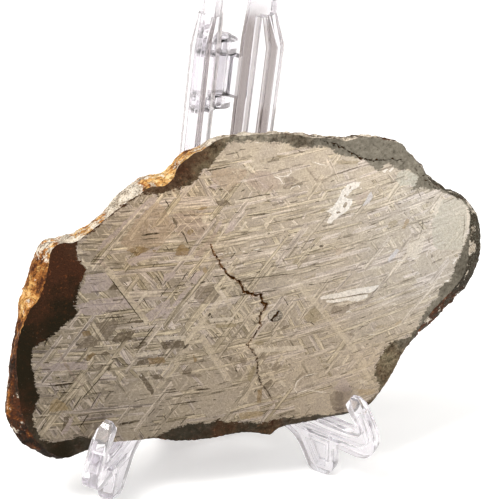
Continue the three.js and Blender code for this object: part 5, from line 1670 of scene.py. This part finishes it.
def clear_plastic(settings):
    """Clear moulded plastic, faintly lilac, with a trace of flow lines and fingerprints, and painted shade
    on the raised edges.
    """
    known = bpy.data.materials.get(PLASTIC_NAME)
    if known:
        return known
    material, tree, shader = new_material(PLASTIC_NAME)
    place = put(tree, "ShaderNodeTexCoord").outputs["Object"]
    smudge = mottle(tree, place, 90.0, 4.0, 0.6)
    flow = mottle(tree, place, 240.0, 1.0, 0.5)
    tint = paint(tree, smudge, settings.plastic_colour[:], PLASTIC_CLEAR)
    # Painted shade: the raised flat edges are tinted dark grey-brown, standing in for the dark refraction in
    # the thick plastic
    tint = paint(tree, vertex_value(tree, "rail"), tint, settings.painted_rail_shade[:])
    tree.links.new(tint, shader.inputs["Base Color"])
    tree.links.new(ramp(tree, smudge, 0.45, 0.75, 0.02, 0.12), shader.inputs["Roughness"])
    shader.inputs["Metallic"].default_value = 0.0
    shader.inputs["Transmission Weight"].default_value = 0.88
    shader.inputs["IOR"].default_value = 1.49
    bump = put(tree, "ShaderNodeBump", {"Strength": 0.1, "Distance": 0.1 * MM, "Height": flow})
    tree.links.new(bump.outputs[0], shader.inputs["Normal"])
    mist = put(tree, "ShaderNodeVolumeAbsorption")
    mist.inputs["Color"].default_value = PLASTIC_MIST
    mist.inputs["Density"].default_value = 22.0
    tree.links.new(mist.outputs[0], tree.nodes["Material Output"].inputs["Volume"])
    return material


# Stage: floor, light and camera

WALL_LIGHT = (0.3, 0.27, 0.25)
CEILING_LIGHT = (1.0, 0.99, 0.97)
BACKDROP = (1.1, 1.1, 1.1)
CLEAR_BOUNCES = 24
GLOSS_BOUNCES = 16
FLOOR_HALF = 20.0
FLOOR_SHADE = 0.97

# Soft lights: place and two sides in metres, share of the set power, colour
LIGHT_TARGET = (0, 0, 0.06)
SOFT_LIGHTS = {
    "key light": ((-0.45, -0.1, 0.7), (0.3, 0.3), 1.0, (1.0, 0.98, 0.95)),
    "front light": ((0.6, -0.95, 0.35), (0.7, 0.5), 0.4, (1.0, 1.0, 1.0)),
}

# Camera: lens and sensor in mm, angles, and distance and aim in mm from the foot of the hinge line
CAMERA_LENS = 100.8
CAMERA_SENSOR = 36.0
CAMERA_AZIMUTH = math.radians(24.0)
CAMERA_ELEVATION = math.radians(24.9)
CAMERA_ROLL = math.radians(7.4)
CAMERA_DISTANCE = 443.0
CAMERA_AIM = Vector((17.4, 0.0, 59.4))


def make_camera():
    """Camera at the left front, looking down on the slice with a slight roll."""
    a, e, roll = CAMERA_AZIMUTH, CAMERA_ELEVATION, CAMERA_ROLL
    view = Vector((math.sin(a) * math.cos(e), math.cos(a) * math.cos(e), -math.sin(e)))
    right = Vector((math.cos(a), -math.sin(a), 0))
    up = Vector((math.sin(a) * math.sin(e), math.cos(a) * math.sin(e), math.cos(e)))
    across = right * math.cos(roll) + up * math.sin(roll)
    upward = up * math.cos(roll) - right * math.sin(roll)
    data = bpy.data.cameras.new("studio camera")
    data.lens = CAMERA_LENS
    data.sensor_width = CAMERA_SENSOR
    camera = bpy.data.objects.new("studio camera", data)
    bpy.context.scene.collection.objects.link(camera)
    at = Vector((HINGE.x, HINGE.y, 0)) + (CAMERA_AIM - view * CAMERA_DISTANCE) * MM
    turn = Matrix((across, upward, -view)).transposed().to_4x4()
    camera.matrix_world = Matrix.Translation(at) @ turn
    bpy.context.scene.camera = camera


def soft_light(name, at, size, power, colour):
    """Rectangular light that faces the object."""
    data = bpy.data.lights.new(name, "AREA")
    data.shape = "RECTANGLE"
    data.size, data.size_y = size
    data.energy = power
    data.color = colour
    lamp = bpy.data.objects.new(name, data)
    bpy.context.scene.collection.objects.link(lamp)
    lamp.location = at
    lamp.rotation_euler = (Vector(LIGHT_TARGET) - Vector(at)).to_track_quat("-Z", "Y").to_euler()


def pale_floor(settings):
    """Plain matte floor that shines a little, so that it stays pale."""
    material, tree, shader = new_material("pale floor")
    place = put(tree, "ShaderNodeTexCoord").outputs["Object"]
    paper = mottle(tree, place, 30.0, 4.0, 0.6)
    low = [c * FLOOR_SHADE for c in settings.floor_colour]
    tree.links.new(paint(tree, paper, low, settings.floor_colour[:]), shader.inputs["Base Color"])
    shader.inputs["Roughness"].default_value = 0.9
    shader.inputs["Emission Color"].default_value = (1.0, 1.0, 1.0, 1.0)
    shader.inputs["Emission Strength"].default_value = 0.25
    corners = [(x * FLOOR_HALF, y * FLOOR_HALF, 0) for x, y in BAR_CORNERS]
    new_piece("studio_floor", corners, [(0, 1, 2, 3)], [material])


def make_world(settings):
    """Even light: bright overhead, dimmer towards the walls, with a pale backdrop behind the floor."""
    scene = bpy.context.scene
    scene.view_settings.view_transform = "Standard"
    scene.cycles.max_bounces = CLEAR_BOUNCES
    scene.cycles.glossy_bounces = GLOSS_BOUNCES
    scene.cycles.transmission_bounces = CLEAR_BOUNCES
    world = bpy.data.worlds.new("studio")
    scene.world = world
    world.use_nodes = True
    tree = world.node_tree
    direction = put(tree, "ShaderNodeTexCoord").outputs["Generated"]
    height = put(tree, "ShaderNodeSeparateXYZ", {0: direction}).outputs[2]
    sky = paint(tree, ramp(tree, height, 0.1, 0.75), WALL_LIGHT, CEILING_LIGHT)
    seen = put(tree, "ShaderNodeLightPath").outputs["Is Camera Ray"]
    sky = paint(tree, seen, sky, BACKDROP)
    back = tree.nodes["Background"]
    tree.links.new(sky, back.inputs["Color"])
    back.inputs["Strength"].default_value = settings.ambient


# Settings, operators and panel


class SliceSettings(bpy.types.PropertyGroup):
    rim_samples: IntProperty(
        name="Points round the rim", description="How finely the crust is modelled", default=1400,
        min=200, max=2400,
    )
    crust_lumps: FloatProperty(
        name="Crust lumps", description="Height of the lumps and pits in the crust, in millimetres",
        default=0.8, min=0, max=2,
    )
    lamella_colour: FloatVectorProperty(
        name="Lamellae", description="Colour of the bright crystal lamellae", subtype="COLOR",
        default=(0.58, 0.5, 0.4), min=0, max=1,
    )
    field_colour: FloatVectorProperty(
        name="Fields", description="Colour of the darker fields between them", subtype="COLOR",
        default=(0.15, 0.122, 0.088), min=0, max=1,
    )
    face_roughness: FloatProperty(
        name="Face roughness", description="Roughness of the etched face", default=0.36, min=0, max=1,
        subtype="FACTOR",
    )
    crust_roughness: FloatProperty(
        name="Crust roughness", description="Roughness of the crust", default=0.62, min=0, max=1,
        subtype="FACTOR",
    )


class EaselSettings(bpy.types.PropertyGroup):
    plastic_colour: FloatVectorProperty(
        name="Plastic", description="Tint of the clear plastic", subtype="COLOR",
        default=(0.95, 0.93, 0.97), min=0, max=1,
    )
    # Colour of the painted shade on the raised flat edges, standing in for the dark refraction in the thick
    # plastic
    painted_rail_shade: FloatVectorProperty(
        name="Raised edges", description="Smoky tint of the raised flat edges", subtype="COLOR",
        default=(0.36, 0.32, 0.31), min=0, max=1,
    )


class StageSettings(bpy.types.PropertyGroup):
    floor_colour: FloatVectorProperty(
        name="Floor", description="Colour of the floor", subtype="COLOR", default=(0.92, 0.92, 0.92),
        min=0, max=1,
    )
    ambient: FloatProperty(
        name="Ambient light", description="Strength of the even light round the object", default=0.95,
        min=0, max=5,
    )
    key_power: FloatProperty(
        name="Key light", description="Power of the main light", default=6.0, min=0, max=100,
        unit="POWER",
    )


class METEORITE_OT_stage(bpy.types.Operator):
    """Adds the pale floor, the soft lights and the camera."""

    bl_idname = "meteorite.stage"
    bl_label = "Floor, lights and camera"

    def execute(self, context):
        settings = context.scene.meteorite_stage
        make_camera()
        make_world(settings)
        pale_floor(settings)
        for name, (at, size, share, colour) in SOFT_LIGHTS.items():
            soft_light(name, at, size, settings.key_power * share, colour)
        return {"FINISHED"}


class METEORITE_OT_slice(bpy.types.Operator):
    """Builds the etched slice with its crust."""

    bl_idname = "meteorite.slice"
    bl_label = "Meteorite slice"

    def execute(self, context):
        make_slice(context.scene.meteorite_slice)
        return {"FINISHED"}


class METEORITE_OT_easel(bpy.types.Operator):
    """Builds the two clear side frames of the easel."""

    bl_idname = "meteorite.easel"
    bl_label = "Easel frames"

    def execute(self, context):
        make_easel(context.scene.meteorite_easel)
        return {"FINISHED"}


class METEORITE_OT_pin(bpy.types.Operator):
    """Builds the pin of the easel's hinge."""

    bl_idname = "meteorite.pin"
    bl_label = "Hinge pin"

    def execute(self, context):
        make_pin(context.scene.meteorite_easel)
        return {"FINISHED"}


class METEORITE_PT_sidebar(bpy.types.Panel):
    bl_label = "Meteorite slice"
    bl_space_type = "VIEW_3D"
    bl_region_type = "UI"
    bl_category = "Meteorite"

    def draw(self, context):
        for operator in OPERATORS:
            self.layout.operator(operator.bl_idname)
        for name in SETTINGS:
            group = getattr(context.scene, name)
            for label in group.__annotations__:
                self.layout.prop(group, label)


OPERATORS = (METEORITE_OT_stage, METEORITE_OT_slice, METEORITE_OT_easel, METEORITE_OT_pin)
SETTINGS = {
    "meteorite_slice": SliceSettings,
    "meteorite_easel": EaselSettings,
    "meteorite_stage": StageSettings,
}


def register():
    for group in SETTINGS.values():
        bpy.utils.register_class(group)
    for name, group in SETTINGS.items():
        setattr(bpy.types.Scene, name, PointerProperty(type=group))
    for operator in OPERATORS:
        bpy.utils.register_class(operator)
    bpy.utils.register_class(METEORITE_PT_sidebar)


def unregister():
    bpy.utils.unregister_class(METEORITE_PT_sidebar)
    for operator in reversed(OPERATORS):
        bpy.utils.unregister_class(operator)
    for name, group in SETTINGS.items():
        delattr(bpy.types.Scene, name)
        bpy.utils.unregister_class(group)


def main():
    register()
    bpy.ops.meteorite.stage()
    bpy.ops.meteorite.slice()
    bpy.ops.meteorite.easel()
    bpy.ops.meteorite.pin()
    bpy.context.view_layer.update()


if __name__ == "__main__":
    main()
